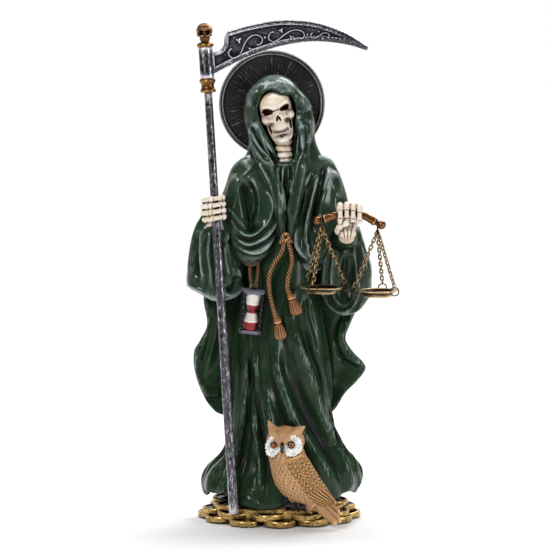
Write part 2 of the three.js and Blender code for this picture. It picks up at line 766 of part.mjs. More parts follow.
function balanceHand() {
  const wrist = at(32.2, -25.5, 138.6);
  const knuckles = [];
  const parts = [bone([at(31.4, -14, 136.6), wrist.clone()], 6.2)];
  const reach = beamDiameter / 2 + fitGap + (fingerThickness / 2) * share;
  for (let i = 0; i < 4; i += 1) {
    const x = 28.9 + i * fingerPitch;
    const centre = beamCurve.getPoint((x - beamPath[0][0]) / (beamPath[beamPath.length - 1][0] - beamPath[0][0]));
    centre.x = x * share;
    const points = beamBends.map(([degrees, far]) => {
      const angle = THREE.MathUtils.degToRad(degrees);
      const away = reach * (far + [0.1, 0.02, 0, -0.04][i]);
      return centre.clone().add(new THREE.Vector3(0, away * Math.cos(angle), away * Math.sin(angle)));
    });
    knuckles.push(points[0]);
    parts.push(bone(points));
  }
  parts.push(palm(wrist, knuckles[3], knuckles[0]));
  parts.push(ball(at(32.4, -30.2, 141.4), 4.4 * share, 2.6 * share, 3 * share, 6, 4));
  parts.push(bone([at(30, -26, 139.6), at(27.8, -30, 142.2), at(29, -33.8, 144.4), at(31.4, -35.2, 146.2)], 2.8));
  return join(parts);
}

// The sleeves' forearms, which carry the hands out of the cuffs.
const forearm = (points, radii) =>
  sweep(
    points.map((p) => at(...p)),
    radii.map((r) => r * share),
    8,
  );
const leftForearm = () =>
  forearm([[-14, -6, 138], [-25, -11, 142], [-33, -14, 146]], [6, 6.5, 4.6]);
const rightForearm = () =>
  forearm([[24, -4, 136], [29, -12, 136.5], [32, -20.5, 138]], [8, 7, 5]);

// The hourglass hangs from the rope: two plates, four posts and two bulbs, leaning a little.
const hourglassPlace = { x: -13, y: -19.8, z: 103, lean: -0.1 };

function hourglass() {
  const half = hourglassHeight / 2;
  const plate = 1.5;
  const width = hourglassWidth;
  const parts = [-1, 1].map((end) => {
    const box = new THREE.BoxGeometry(width, width * 0.72, plate);
    box.translate(0, 0, end * (half - plate / 2));
    return box;
  });
  for (const x of [-1, 1]) {
    for (const y of [-1, 1]) {
      const post = new THREE.CylinderGeometry(0.65, 0.65, hourglassHeight - plate, 4);
      post.rotateX(Math.PI / 2);
      post.translate(x * (width / 2 - 1), y * (width * 0.36 - 1), 0);
      parts.push(post);
    }
  }
  const bulb = width * 0.33;
  const tall = half - plate * 0.6;
  parts.push(
    turned(
      [[0, -tall], [bulb * 0.8, -tall], [bulb, -tall * 0.5], [bulb * 0.4, 0], [bulb, tall * 0.5],
        [bulb * 0.8, tall], [0, tall]],
      7,
    ),
  );
  const place = at(hourglassPlace.x, hourglassPlace.y, hourglassPlace.z);
  return join(parts.map((g) => solid(placed(g, [0.12, -hourglassPlace.lean, 0], place))));
}

// The rope belt: two ends with tassels from the knot, and the two cords of the hourglass.
const ropeLines = [
  [[2.8, -16, 136.5], [1.3, -17.6, 131.5], [-2.6, -18.4, 125.5], [-4.7, -18.6, 119.5], [-4.5, -18.8, 112.5],
    [-3.2, -19.2, 106], [-1.4, -19.5, 99]],
  [[3.9, -16, 136.5], [5.8, -17.4, 131], [6.2, -18, 126], [4.5, -18.4, 119.7], [4, -18.8, 114.5],
    [5.2, -19, 110.5]],
  [[-13.8, -11, 129], [-14, -16.4, 122], [-13.2, -19.4, 114.6]],
  [[-9.8, -11, 129], [-10.2, -16.4, 122], [-11, -19.4, 114.6]],
];
const tassels = [
  { x: -1, y: -19.4, z: 99.5, lean: -0.22 },
  { x: 5.4, y: -19, z: 111, lean: -0.34 },
];
const tasselLength = 10.2;

function ropes() {
  const parts = ropeLines.map((line) =>
    sweep(
      line.map((p) => at(...p)),
      ropeDiameter / 2,
      4,
    ),
  );
  for (const { x, y, z, lean } of tassels) {
    const pairs = [
      [0, -tasselLength], [2.5, -tasselLength], [2.6, -tasselLength * 0.7], [1.3, -1.6], [1.8, -0.6], [0, 0.6],
    ];
    const geometry = turned(
      pairs.map(([r, h]) => [r * share, h * share]),
      6,
    );
    parts.push(solid(placed(geometry, [0.05, lean, 0], at(x, y, z))));
  }
  parts.push(ball(at(3.3, -16.2, 137.6), 2.6 * share, 1.9 * share, 1.9 * share, 6, 4));
  return join(parts);
}

// The owl: a body on a slanting spine, a broad head with tufts, a folded wing and a tail over the coins.
const owlBody = [
  { p: [3, -26.5, 40], r: 8.2 }, { p: [4.8, -26.5, 31], r: 9.4 }, { p: [8.2, -26.6, 23], r: 10.2 },
  { p: [13, -27.4, 15.5], r: 7.6 }, { p: [17.6, -28, 11], r: 4.4 },
];
const owlTufts = [
  [[0, -27, 45], [-2.6, -28.4, 48.6], [-4.8, -29, 51.8]],
  [[7, -27, 45], [9.6, -28.4, 47.6], [12.4, -29, 49.2]],
];
const owlWing = [[12, -27.5, 32.5], [15.5, -28.8, 27], [21, -29.4, 18.5], [27, -30, 10.8]];
const owlTail = [[15, -28.6, 13], [21.5, -31, 9], [28, -34.6, 4.2]];

function owl() {
  const limb = (points, radii, sides, guide, flat) =>
    sweep(
      points.map((p) => at(...p)),
      radii.map((radius) => radius * share),
      sides,
      guide,
      flat,
    );
  const parts = [
    limb(owlBody.map(({ p }) => p), owlBody.map(({ r }) => r), 9, new THREE.Vector3(0, 1, 0), 0.86),
    ball(at(3.2, -27.6, 41.6), 9.4 * share, 7.6 * share, 7.4 * share, 10, 6),
    ...owlTufts.map((tuft) => limb(tuft, [3.4, 2, 0.5], 4)),
    limb(owlWing, [4.4, 6.8, 5.4, 1.6], 7, new THREE.Vector3(0.5, 0.8, 0.2), 0.62),
    limb(owlTail, [4, 3.8, 2.9], 6, new THREE.Vector3(0.3, 0.9, 0.3), 0.42),
    limb([[2, -34, 40], [2, -36, 38.4], [1.9, -35.6, 36.6]], [1.1, 0.9, 0.3], 4),
  ];
  for (const x of [-2.1, 6]) {
    const disc = turned([[0, -1.6], [4.3, -1.6], [4, 0.4], [0, 0.9]], 9);
    disc.scale(0.92 * share, 1.18 * share, share);
    parts.push(solid(placed(disc, [Math.PI / 2, 0, 0], at(x, -34.2, 40.3))));
  }
  return join(parts);
}

// A set of chains: the hanging ring, three runs of links and the three rings through the pan's rim.
const rimRingRadius = rimRingDiameter / 2;
const hangerRadius = hangerDiameter / 2;
const panDrop = 31.6;
const rimHoleInset = panLip / 2;
const rimHoleRadius = wireDiameter / 2 + fitGap;
const panAngles = { left: [8, 128, 248], right: [195, 315, 75] };

function hangPoints(hang, side) {
  const ringMiddle = hang
    .clone()
    .add(new THREE.Vector3(0, 0, beamNeckDiameter / 2 + fitGap / 2 + wireDiameter / 2 - hangerRadius));
  const rim = hang.clone().add(new THREE.Vector3(0, 0, -panDrop * share));
  const rings = panAngles[side].map((degrees) => {
    const angle = THREE.MathUtils.degToRad(degrees);
    const reach = panDiameter / 2 - rimHoleInset + rimRingRadius;
    return { angle, middle: rim.clone().add(new THREE.Vector3(reach * Math.cos(angle), reach * Math.sin(angle), 0)) };
  });
  return { ringMiddle, rim, rings };
}

// One link: a rectangular loop of wire with a three-sided section, flat on the inside.
function link(halfWidth, halfLength) {
  const out = wireDiameter * 0.45;
  const rings = [[1, 1], [-1, 1], [-1, -1], [1, -1]].map(([sx, sy]) => [
    new THREE.Vector3(sx * (halfWidth + out), sy * (halfLength + out), 0),
    new THREE.Vector3(sx * (halfWidth - out), sy * (halfLength - out), wireDiameter / 2),
    new THREE.Vector3(sx * (halfWidth - out), sy * (halfLength - out), -wireDiameter / 2),
  ]);
  const index = [];
  for (let i = 0; i < 4; i += 1) {
    for (let j = 0; j < 3; j += 1) {
      const a = i * 3 + j;
      const b = i * 3 + ((j + 1) % 3);
      const c = ((i + 1) % 4) * 3 + j;
      const d = ((i + 1) % 4) * 3 + ((j + 1) % 3);
      index.push(a, b, d, a, d, c);
    }
  }
  const geometry = new THREE.BufferGeometry();
  const positions = rings.flat().flatMap((p) => [p.x, p.y, p.z]);
  geometry.setAttribute("position", new THREE.BufferAttribute(new Float32Array(positions), 3));
  geometry.setIndex(index);
  return geometry;
}

function chainSet(hang, side) {
  const { ringMiddle, rings } = hangPoints(hang, side);
  const hanger = wireRing(hangerRadius, wireDiameter, 8, 3);
  const parts = [solid(placed(hanger, [0, Math.PI / 2, 0], ringMiddle))];
  const bite = wireDiameter * 0.15;
  for (const { angle, middle } of rings) {
    const ring = wireRing(rimRingRadius, wireDiameter, 6, 3);
    ring.rotateX(Math.PI / 2);
    parts.push(solid(placed(ring, [0, 0, angle], middle)));
    const spread = 0.45 * Math.sin(angle);
    const top = ringMiddle
      .clone()
      .add(new THREE.Vector3(0, hangerRadius * Math.sin(spread), -hangerRadius * Math.cos(spread)));
    const bottom = middle.clone().add(new THREE.Vector3(0, 0, rimRingRadius * Math.cos(Math.PI / 6)));
    const run = bottom.clone().sub(top);
    const along = run.clone().normalize();
    const count = Math.round(run.length() / (linkLength - 2 * wireDiameter));
    const halfLength = (run.length() / count + wireDiameter * 0.9 - bite) / 2;
    const square = (v) => v.addScaledVector(along, -v.dot(along)).normalize();
    const first = square(new THREE.Vector3(1, 0, 0));
    const rimward = square(new THREE.Vector3(-Math.sin(angle), Math.cos(angle), 0));
    const last = count % 2 ? rimward : rimward.applyAxisAngle(along, Math.PI / 2);
    if (first.dot(last) < 0) last.negate();
    for (let i = 0; i < count; i += 1) {
      const side = first.clone().lerp(last, i / (count - 1)).normalize();
      if (i % 2) side.applyAxisAngle(along, Math.PI / 2);
      const one = link((linkWidth - wireDiameter) / 2, halfLength);
      const middleOfLink = top.clone().addScaledVector(run, (i + 0.5) / count);
      one.applyMatrix4(
        new THREE.Matrix4()
          .makeBasis(side, along, new THREE.Vector3().crossVectors(side, along))
          .setPosition(middleOfLink),
      );
      parts.push(solid(one));
    }
  }
  return join(parts);
}

function pan(hang, side) {
  const { rim, rings } = hangPoints(hang, side);
  const r = panDiameter / 2;
  const floor = -panHeight + panWall;
  const lip = wireDiameter;
  const profilePairs = [
    [0, -panHeight], [r * 0.6, -panHeight], [r - panLip, -lip], [r, -lip], [r, 0], [r - panLip + 0.2, 0],
    [r * 0.56, floor], [0, floor],
  ];
  const holes = rings.map(({ angle }) => {
    const hole = new THREE.CylinderGeometry(rimHoleRadius, rimHoleRadius, panHeight, 5);
    hole.rotateX(Math.PI / 2);
    hole.translate((r - rimHoleInset) * Math.cos(angle), (r - rimHoleInset) * Math.sin(angle), 0);
    return solid(hole);
  });
  const dish = solid(turned(profilePairs, 14)).subtract(join(holes));
  const geometry = geometryOf(dish);
  geometry.translate(rim.x, rim.y, rim.z);
  return geometry;
}

// The one casting: everything that is fused with the robe, less the room for the loose pieces.
function figure() {
  const mouth = ball(at(32, -22, 119), 8.4 * share, 6 * share, 14 * share, 8, 6);
  const robe = join([
    gown(),
    cloak(),
    upperSleeve(leftSleeve),
    upperSleeve(rightSleeve),
    cuff(leftCuff),
    cuff(rightCuff).subtract(mouth),
    leftForearm(),
    rightForearm(),
    hood(),
    ...bands(),
  ]);
  const whole = join([
    coinBase(),
    robe,
    skull(),
    neck(),
    halo(),
    scytheHand(),
    balanceHand(),
    hourglass(),
    ropes(),
    owl(),
  ]);
  return casting(whole.subtract(inScytheFrame(poleSolid(fitGap))).subtract(beam(fitGap)), robeGrain);
}

const resin = (color, roughness = 0.5, metalness = 0) =>
  new THREE.MeshStandardMaterial({ color, roughness, metalness });
const named = (name, geometry, material) => {
  const mesh = new THREE.Mesh(geometry, material);
  mesh.name = name;
  return mesh;
};

const saint = new THREE.Group();
saint.add(named("figure", geometryOf(figure()), resin(0x24402a, 0.35)));

const scythe = scytheGroup();
const scytheSolid = casting(join([solid(poleSolid()), socket(), finialSkull(), bladeSolid()]), bladeGrain);
scythe.add(named("scythe", geometryOf(scytheSolid), resin(0x77777c, 0.4, 0.6)));
saint.add(scythe);

const bronze = resin(0x8a6a35, 0.4, 0.8);
saint.add(named("scale_beam", geometryOf(beam()), bronze));
for (const [side, hang] of [["left", leftHang], ["right", rightHang]]) {
  saint.add(named(side + "_scale_chains", geometryOf(chainSet(hang, side)), bronze));
  saint.add(named(side + "_scale_pan", pan(hang, side), bronze));
}

export default saint;
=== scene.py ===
import bpy
import math
import numpy as np
from mathutils import Vector, Matrix


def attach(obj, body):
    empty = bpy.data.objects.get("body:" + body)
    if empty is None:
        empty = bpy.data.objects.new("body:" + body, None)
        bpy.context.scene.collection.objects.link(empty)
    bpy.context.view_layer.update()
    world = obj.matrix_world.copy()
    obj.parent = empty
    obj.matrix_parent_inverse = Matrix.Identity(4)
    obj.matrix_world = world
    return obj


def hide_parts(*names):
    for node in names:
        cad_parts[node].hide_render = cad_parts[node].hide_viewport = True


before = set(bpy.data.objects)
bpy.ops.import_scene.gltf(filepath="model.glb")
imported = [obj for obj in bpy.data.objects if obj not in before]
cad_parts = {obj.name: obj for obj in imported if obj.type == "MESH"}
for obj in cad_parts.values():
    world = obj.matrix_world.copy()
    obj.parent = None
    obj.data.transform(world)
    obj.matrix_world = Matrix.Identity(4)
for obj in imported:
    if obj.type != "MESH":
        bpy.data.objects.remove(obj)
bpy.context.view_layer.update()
print("loaded the cast and its loose pieces")

mm = 0.001  # metres in a millimetre
turn = 2 * math.pi


# smooth curves and closed surfaces, all in millimetres
def curve(pairs):
    stations = np.array([p[0] for p in pairs], float)
    values = np.array([p[1] for p in pairs], float)

    def at(s):
        s = np.clip(np.asarray(s, float), stations[0], stations[-1])
        i = np.clip(np.searchsorted(stations, s, side="right") - 1, 0, len(stations) - 2)
        before, after = np.maximum(i - 1, 0), np.minimum(i + 2, len(stations) - 1)
        step = stations[i + 1] - stations[i]
        t = (s - stations[i]) / step
        m0 = (values[i + 1] - values[before]) / (stations[i + 1] - stations[before]) * step
        m1 = (values[after] - values[i]) / (stations[after] - stations[i]) * step
        t2, t3 = t * t, t * t * t
        return ((2 * t3 - 3 * t2 + 1) * values[i] + (t3 - 2 * t2 + t) * m0
                + (3 * t2 - 2 * t3) * values[i + 1] + (t3 - t2) * m1)
    return at


def through(points, count, closed=False):
    # a smooth line through the points, evenly spaced along its length
    p = np.array(points, float)
    if closed:
        p = np.vstack([p[-2:], p, p[:3]])
    s = np.concatenate([[0], np.cumsum(np.linalg.norm(np.diff(p, axis=0), axis=1) + 1e-9)])
    start, stop = (s[2], s[-3]) if closed else (0, s[-1])
    where = np.linspace(start, stop, count, endpoint=not closed)
    return np.stack([curve(list(zip(s, p[:, k])))(where) for k in range(p.shape[1])], 1)


def mix(a, b, t):
    return a + (b - a) * t


def smooth(low, high, v):
    t = np.clip((v - low) / (high - low), 0, 1)
    return t * t * (3 - 2 * t)


def pleat(turns, roundness=0.8):
    return (0.5 + 0.5 * np.cos(turns * turn)) ** roundness


def turnedOut(form):
    verts, quads, tris = form
    fans = np.vstack([quads[:, [0, 1, 2]], quads[:, [0, 2, 3]], tris])
    a, b, c = verts[fans[:, 0]], verts[fans[:, 1]], verts[fans[:, 2]]
    if np.einsum("ij,ij->i", a - verts[0], np.cross(b - a, c - a)).sum() < 0:
        quads, tris = quads[:, ::-1], tris[:, ::-1]
    return verts, quads, tris


def ringed(grid, closeEnds=True):
    # rows of closed rings become one closed surface
    rows, cols = grid.shape[:2]
    index = np.arange(rows * cols).reshape(rows, cols)
    right = np.roll(index, -1, axis=1)
    quads = np.stack([index[:-1], right[:-1], right[1:], index[1:]], -1).reshape(-1, 4)
    verts = grid.reshape(-1, 3)
    tris = np.zeros((0, 3), int)
    if closeEnds:
        ends = []
        for ring, flip in ((index[0], True), (index[-1], False)):
            middle = len(verts)
            verts = np.vstack([verts, verts[ring].mean(0)])
            a, b = (np.roll(ring, -1), ring) if flip else (ring, np.roll(ring, -1))
            ends.append(np.stack([np.full(cols, middle), a, b], 1))
        tris = np.vstack(ends)
    return turnedOut((verts, quads, tris))


def together(forms):
    verts, quads, tris, count = [], [], [], 0
    for v, q, t in forms:
        verts.append(v)
        quads.append(q + count)
        tris.append(t + count)
        count += len(v)
    return np.vstack(verts), np.vstack(quads), np.vstack(tris)


def normalsOf(form):
    verts, quads, tris = form
    total = np.zeros((len(verts), 3))
    for faces, across in ((quads, (0, 2, 1, 3)), (tris, (0, 1, 0, 2))):
        if len(faces):
            n = np.cross(verts[faces[:, across[1]]] - verts[faces[:, across[0]]],
                         verts[faces[:, across[3]]] - verts[faces[:, across[2]]])
            for corner in range(faces.shape[1]):
                for k in range(3):
                    total[:, k] += np.bincount(faces[:, corner], n[:, k], len(verts))
    return total / np.maximum(np.linalg.norm(total, axis=1, keepdims=True), 1e-12)


def spun(tilt):
    # turned about X, then Y, then Z of the piece's own frame
    x, y, z = (Matrix.Rotation(a, 3, k) for a, k in zip(tilt, "XYZ"))
    return np.array(x @ y @ z)


def placed(points, place=(0, 0, 0), tilt=(0, 0, 0)):
    return np.asarray(points, float) @ spun(tilt).T + np.array(place, float)


def moved(form, place=(0, 0, 0), tilt=(0, 0, 0)):
    return placed(form[0], place, tilt), form[1], form[2]


def tube(path, radii, sides=12, flat=1.0, guide=(0, 1, 0), count=None, ribs=None):
    # a rounded run along a path; flat is its thickness over its width
    p = np.array(path, float)
    r = np.full(len(p), float(radii)) if np.ndim(radii) == 0 else np.array(radii, float)
    if count:
        both = through(np.column_stack([p, r]), count)
        p, r = both[:, :3], both[:, 3]
    way = np.vstack([p[1:], p[-1:]]) - np.vstack([p[:1], p[:-1]])
    way /= np.linalg.norm(way, axis=1, keepdims=True)
    side = np.cross(way, np.array(guide, float))
    side /= np.linalg.norm(side, axis=1, keepdims=True)
    front = np.cross(side, way)
    # each end bows out in three rings: (distance out, share of the radius)
    bow = np.array([(0.95, 0.35), (0.75, 0.68), (0.4, 0.93)])
    out, size = bow[:, :1], bow[:, 1]
    p = np.vstack([p[0] - way[0] * r[0] * out, p, p[-1] + way[-1] * r[-1] * out[::-1]])
    side = np.vstack([side[[0] * 3], side, side[[-1] * 3]])
    front = np.vstack([front[[0] * 3], front, front[[-1] * 3]])
    r = np.concatenate([r[0] * size, r, r[-1] * size[::-1]])
    angle = np.arange(sides) * turn / sides
    reach = r[:, None] * np.ones(sides)
    if ribs:
        reach = reach * ribs(np.linspace(0, 1, len(r))[:, None], angle)
    grid = (p[:, None] + side[:, None] * (reach * np.cos(angle))[..., None]
            + front[:, None] * (reach * flat * np.sin(angle))[..., None])
    return ringed(grid)


def lathe(pairs, segments=32, place=(0, 0, 0), tilt=(0, 0, 0), scale=(1, 1, 1), ribs=None):
    pairs = np.array(pairs, float)
    angle = np.arange(segments) * turn / segments
    r = pairs[:, :1] * np.ones(segments)
    if ribs:
        r = r * ribs(np.linspace(0, 1, len(pairs))[:, None], angle)
    grid = np.stack([r * np.cos(angle), r * np.sin(angle), np.repeat(pairs[:, 1:], segments, 1)], -1)
    return ringed(placed(grid * np.array(scale), place, tilt))


def egg(centre, radii, tilt=(0, 0, 0), rows=22, segments=34):
    a = np.linspace(0.06, math.pi - 0.06, rows)
    return lathe(np.column_stack([np.sin(a), np.cos(a)]), segments, centre, tilt, radii)


def loop(radius, wire, place=(0, 0, 0), tilt=(0, 0, 0), segments=28, sides=8, stretch=0):
    # a closed ring of wire in its own XY plane, drawn out along Y by the stretch
    a = np.arange(segments) * turn / segments
    b = np.arange(sides) * turn / sides
    reach = radius + wire / 2 * np.cos(b)
    drawnOut = stretch * np.sign(np.sin(a + 1e-6))[:, None]
    grid = np.stack([reach * np.cos(a)[:, None], reach * np.sin(a)[:, None] + drawnOut,
                     np.ones((segments, 1)) * wire / 2 * np.sin(b)], -1)
    rows, cols = grid.shape[:2]
    index = np.arange(rows * cols).reshape(rows, cols)
    over, right = np.roll(index, -1, 0), np.roll(index, -1, 1)
    quads = np.stack([index, right, np.roll(over, -1, 1), over], -1).reshape(-1, 4)
    return turnedOut((placed(grid.reshape(-1, 3), place, tilt), quads, np.zeros((0, 3), int)))


# carving: ridges and valleys drawn on a surface
def gapTo(points, line, closed=False):
    # the distance to a drawn line, how far along it that falls, and whether it is on the line's left
    if closed:
        line = np.vstack([line, line[:1]])
    best = np.full(len(points), 1e18)
    share, side = np.zeros(len(points)), np.zeros(len(points))
    for i in range(len(line) - 1):
        a, d = line[i], line[i + 1] - line[i]
        off = points - a
        t = np.clip((off @ d) / (d @ d + 1e-12), 0, 1)
        gap = ((off - t[:, None] * d) ** 2).sum(1)
        closer = gap < best
        best[closer] = gap[closer]
        share[closer] = (i + t[closer]) / (len(line) - 1)
        if points.shape[1] == 2:
            side[closer] = (off @ np.array([d[1], -d[0]]))[closer]
    return np.sqrt(best), share, side > 0


def strokes(points, lines):
    # each stroke is (width, height, path) and eases out at both ends
    height = np.zeros(len(points))
    for width, high, path in lines:
        line = through(path, 30)
        low, top = line.min(0) - 3 * width, line.max(0) + 3 * width
        inside = np.where(((points >= low) & (points <= top)).all(1))[0]
        if len(inside):
            gap, share, _ = gapTo(points[inside], line)
            ridge = high * np.exp(-(gap / width) ** 2)
            height[inside] += ridge * smooth(0, 0.16, share) * (1 - smooth(0.84, 1, share))
    return height


def laps(points, lines):
    # a fold of cloth: (height, spread to its left, spread to its right, path drawn downwards), the
    # tighter side with a valley beside it
    height = np.zeros(len(points))
    for high, left, right, path in lines:
        line = through(path, 32)
        wide = 3 * max(left, right)
        inside = np.where(((points >= line.min(0) - wide) & (points <= line.max(0) + wide)).all(1))[0]
        if not len(inside):
            continue
        gap, share, onLeft = gapTo(points[inside], line)
        fold = np.exp(-np.abs(gap / np.where(onLeft, left, right)) ** 1.7)
        if high > 0 and left != right:
            tight = min(left, right)
            valley = 0.5 * np.exp(-((gap - 2 * tight) / tight) ** 2) * (onLeft == (left < right))
            fold = fold - valley * smooth(0, tight, gap)
        height[inside] += high * fold * smooth(0, 0.2, share) * (1 - smooth(0.8, 1, share))
    return height


def pleatsBetween(points, ridges, deep):
    # crests along the ridges, each drawn downwards and in order from the left, with a valley between
    # every two
    lines = [curve([(z, x) for x, z in reversed(ridge)]) for ridge in ridges]
    crests = np.sort([line(points[:, 1]) for line in lines], axis=0)
    crests = np.vstack([crests[0] - 7, crests, crests[-1] + 7])
    index = np.clip((crests < points[:, 0]).sum(0), 1, len(crests) - 1)
    each = np.arange(len(points))
    low, high = crests[index - 1, each], crests[index, each]
    share = np.clip((points[:, 0] - low) / np.maximum(high - low, 0.5), 0, 1)
    crest = (0.5 + 0.5 * np.cos(turn * share)) ** 0.75
    return deep * np.clip((high - low - 1.5) / 6.5, 0.12, 1.2) * (crest - 0.45)


def raised(form, height, facing=(0, -1, 0), reach=(0.05, 0.5)):
    verts, quads, tris = form
    normals = normalsOf(form)
    seen = smooth(*reach, normals @ np.array(facing, float)) if facing else 1.0
    return verts + normals * (height * seen)[:, None], quads, tris


def folded(form, lines, facing=(0, -1, 0), reach=(0.1, 0.55)):
    return raised(form, laps(form[0][:, [0, 2]], lines), facing, reach)


def drawn(form, lines):
    return raised(form, strokes(form[0][:, [0, 2]], lines))


def neighbourCount(a, b, count):
    # a and b are the two ends of each edge
    return np.maximum(np.bincount(a, minlength=count) + np.bincount(b, minlength=count), 1)[:, None]


def neighbourMean(verts, a, b, count):
    total = np.stack([np.bincount(a, verts[b, k], len(verts)) + np.bincount(b, verts[a, k], len(verts))
                      for k in range(3)], 1)
    return total / count


def eased(form, rounds, share):
    # softens the surface where share is one
    verts, quads, tris = form
    loops = np.vstack([quads[:, [0, 1]], quads[:, [1, 2]], quads[:, [2, 3]], quads[:, [3, 0]],
                       tris[:, [0, 1]], tris[:, [1, 2]], tris[:, [2, 0]]])
    a, b = np.unique(np.sort(loops, axis=1), axis=0).T
    links = neighbourCount(a, b, len(verts))
    for _ in range(rounds):
        verts = mix(verts, neighbourMean(verts, a, b, links), share[:, None])
    return verts, quads, tris


def rolledHem(ring, middle, steps):
    # a hem rolls under: each step is (distance inwards, rise)
    inward = (ring - middle) * np.array([1, 1, 0])
    inward /= np.linalg.norm(inward, axis=1, keepdims=True)
    return np.stack([ring - inward * d + np.array([0, 0, h]) for d, h in steps])


def wobbled(form, size, height, seed=0):
    # slow hand-made unevenness
    dice = np.random.default_rng(seed)
    verts = form[0]
    out = np.zeros_like(verts)
    for _ in range(5):
        way = dice.normal(0, 1, (3, 3))
        out += np.sin(verts @ (way / size) + dice.uniform(0, turn, 3)) * height / 2
    return verts + out, form[1], form[2]


# objects, and the two carving tints that the paints read
def meshed(name, form):
    # a form is (points in millimetres, faces of four corners, faces of three)
    verts, quads, tris = form
    mesh = bpy.data.meshes.new(name)
    mesh.from_pydata((verts * mm).tolist(), [], quads.tolist() + tris.tolist())
    thing = bpy.data.objects.new(name, mesh)
    bpy.context.collection.objects.link(thing)
    return thing


def tintByCarving(mesh, fine, broad, darkening, calm):
    # how far each point stands proud of its softened surroundings, or lies below them; a darkening pushes
    # points into the wash and painted shade, and where it is calm neither the wash nor the pale brush and
    # painted highlight shows
    count = len(mesh.vertices)
    verts, normals = np.empty(count * 3), np.empty(count * 3)
    mesh.vertices.foreach_get("co", verts)
    mesh.vertices.foreach_get("normal", normals)
    verts, normals = verts.reshape(-1, 3) / mm, normals.reshape(-1, 3)
    ends = np.empty(len(mesh.edges) * 2, int)
    mesh.edges.foreach_get("vertices", ends)
    a, b = ends.reshape(-1, 2).T
    links = neighbourCount(a, b, count)
    soft, done = verts, 0
    for name, (rounds, scale) in (("crisp", fine), ("deep", broad)):
        while done < rounds:
            soft = neighbourMean(soft, a, b, links)
            done += 1
        proud = ((verts - soft) * normals).sum(1)
        proud -= np.median(proud)
        layer = mesh.attributes.new(name, "FLOAT", "POINT")
        value = (0.5 + 0.5 * np.tanh(proud / scale) * (1 - calm)) * (1 - darkening)
        layer.data.foreach_set("value", value.astype(np.float32))


def sculpt(name, form, paint, node="figure", fine=(5, 0.1), broad=(60, 0.7), darkening=0, calm=0,
           keep=0.38):
    # tinted at full density, then thinned to the share of faces that it keeps; fine and broad are each
    # (rounds of softening, millimetres of relief for a full tint)
    thing = meshed(name, form)
    mesh = thing.data
    mesh.update()
    mesh.shade_smooth()
    tintByCarving(mesh, fine, broad, darkening, calm)
    mesh.materials.append(paint)
    thing.modifiers.new("thin", "DECIMATE").ratio = keep
    seen = bpy.context.evaluated_depsgraph_get()
    thinned = thing.evaluated_get(seen)
    thing.data = bpy.data.meshes.new_from_object(thinned, preserve_all_data_layers=True, depsgraph=seen)
    thing.modifiers.clear()
    bpy.data.meshes.remove(mesh)
    thing.data.name = name
    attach(thing, "root")
    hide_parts(node)


def taken(thing):
    # the blank with its modifiers applied, as a form again
    mesh = bpy.data.meshes.new_from_object(thing.evaluated_get(bpy.context.evaluated_depsgraph_get()))
    bpy.data.meshes.remove(thing.data)
    verts = np.empty(len(mesh.vertices) * 3)
    mesh.vertices.foreach_get("co", verts)
    starts = np.empty(len(mesh.polygons), int)
    sizes = np.empty(len(mesh.polygons), int)
    corners = np.empty(len(mesh.loops), int)
    mesh.polygons.foreach_get("loop_start", starts)
    mesh.polygons.foreach_get("loop_total", sizes)
    mesh.loops.foreach_get("vertex_index", corners)
    if (sizes > 4).any():
        mesh.calc_loop_triangles()
        tris = np.empty(len(mesh.loop_triangles) * 3, int)
        mesh.loop_triangles.foreach_get("vertices", tris)
        quads, tris = np.zeros((0, 4), int), tris.reshape(-1, 3)
    else:
        quads = corners[starts[sizes == 4][:, None] + np.arange(4)]
        tris = corners[starts[sizes == 3][:, None] + np.arange(3)]
    bpy.data.meshes.remove(mesh)
    return verts.reshape(-1, 3) / mm, quads, tris


def cast(forms, grain, settle):
    # fuses overlapping forms into one skin, as the mould would
    thing = meshed("blank", together(forms))
    fuse = thing.modifiers.new("fuse", "REMESH")
    fuse.mode = "VOXEL"
    fuse.voxel_size = grain * mm
    calm = thing.modifiers.new("calm", "SMOOTH")
    calm.factor, calm.iterations = 0.5, settle
    return taken(thing)


def cut(form, tool):
    thing, knife = meshed("blank", form), meshed("knife", tool)
    bite = thing.modifiers.new("bite", "BOOLEAN")
    bite.operation, bite.solver, bite.object = "DIFFERENCE", "EXACT", knife
    form = taken(thing)
    bpy.data.meshes.remove(knife.data)
    return form


# paints; a colour is red, green and blue from 0 to 255, as on a screen
def srgb(r, g, b):
    return tuple((c / 255 / 12.92) if c <= 10 else ((c / 255 + 0.055) / 1.055) ** 2.4 for c in (r, g, b))


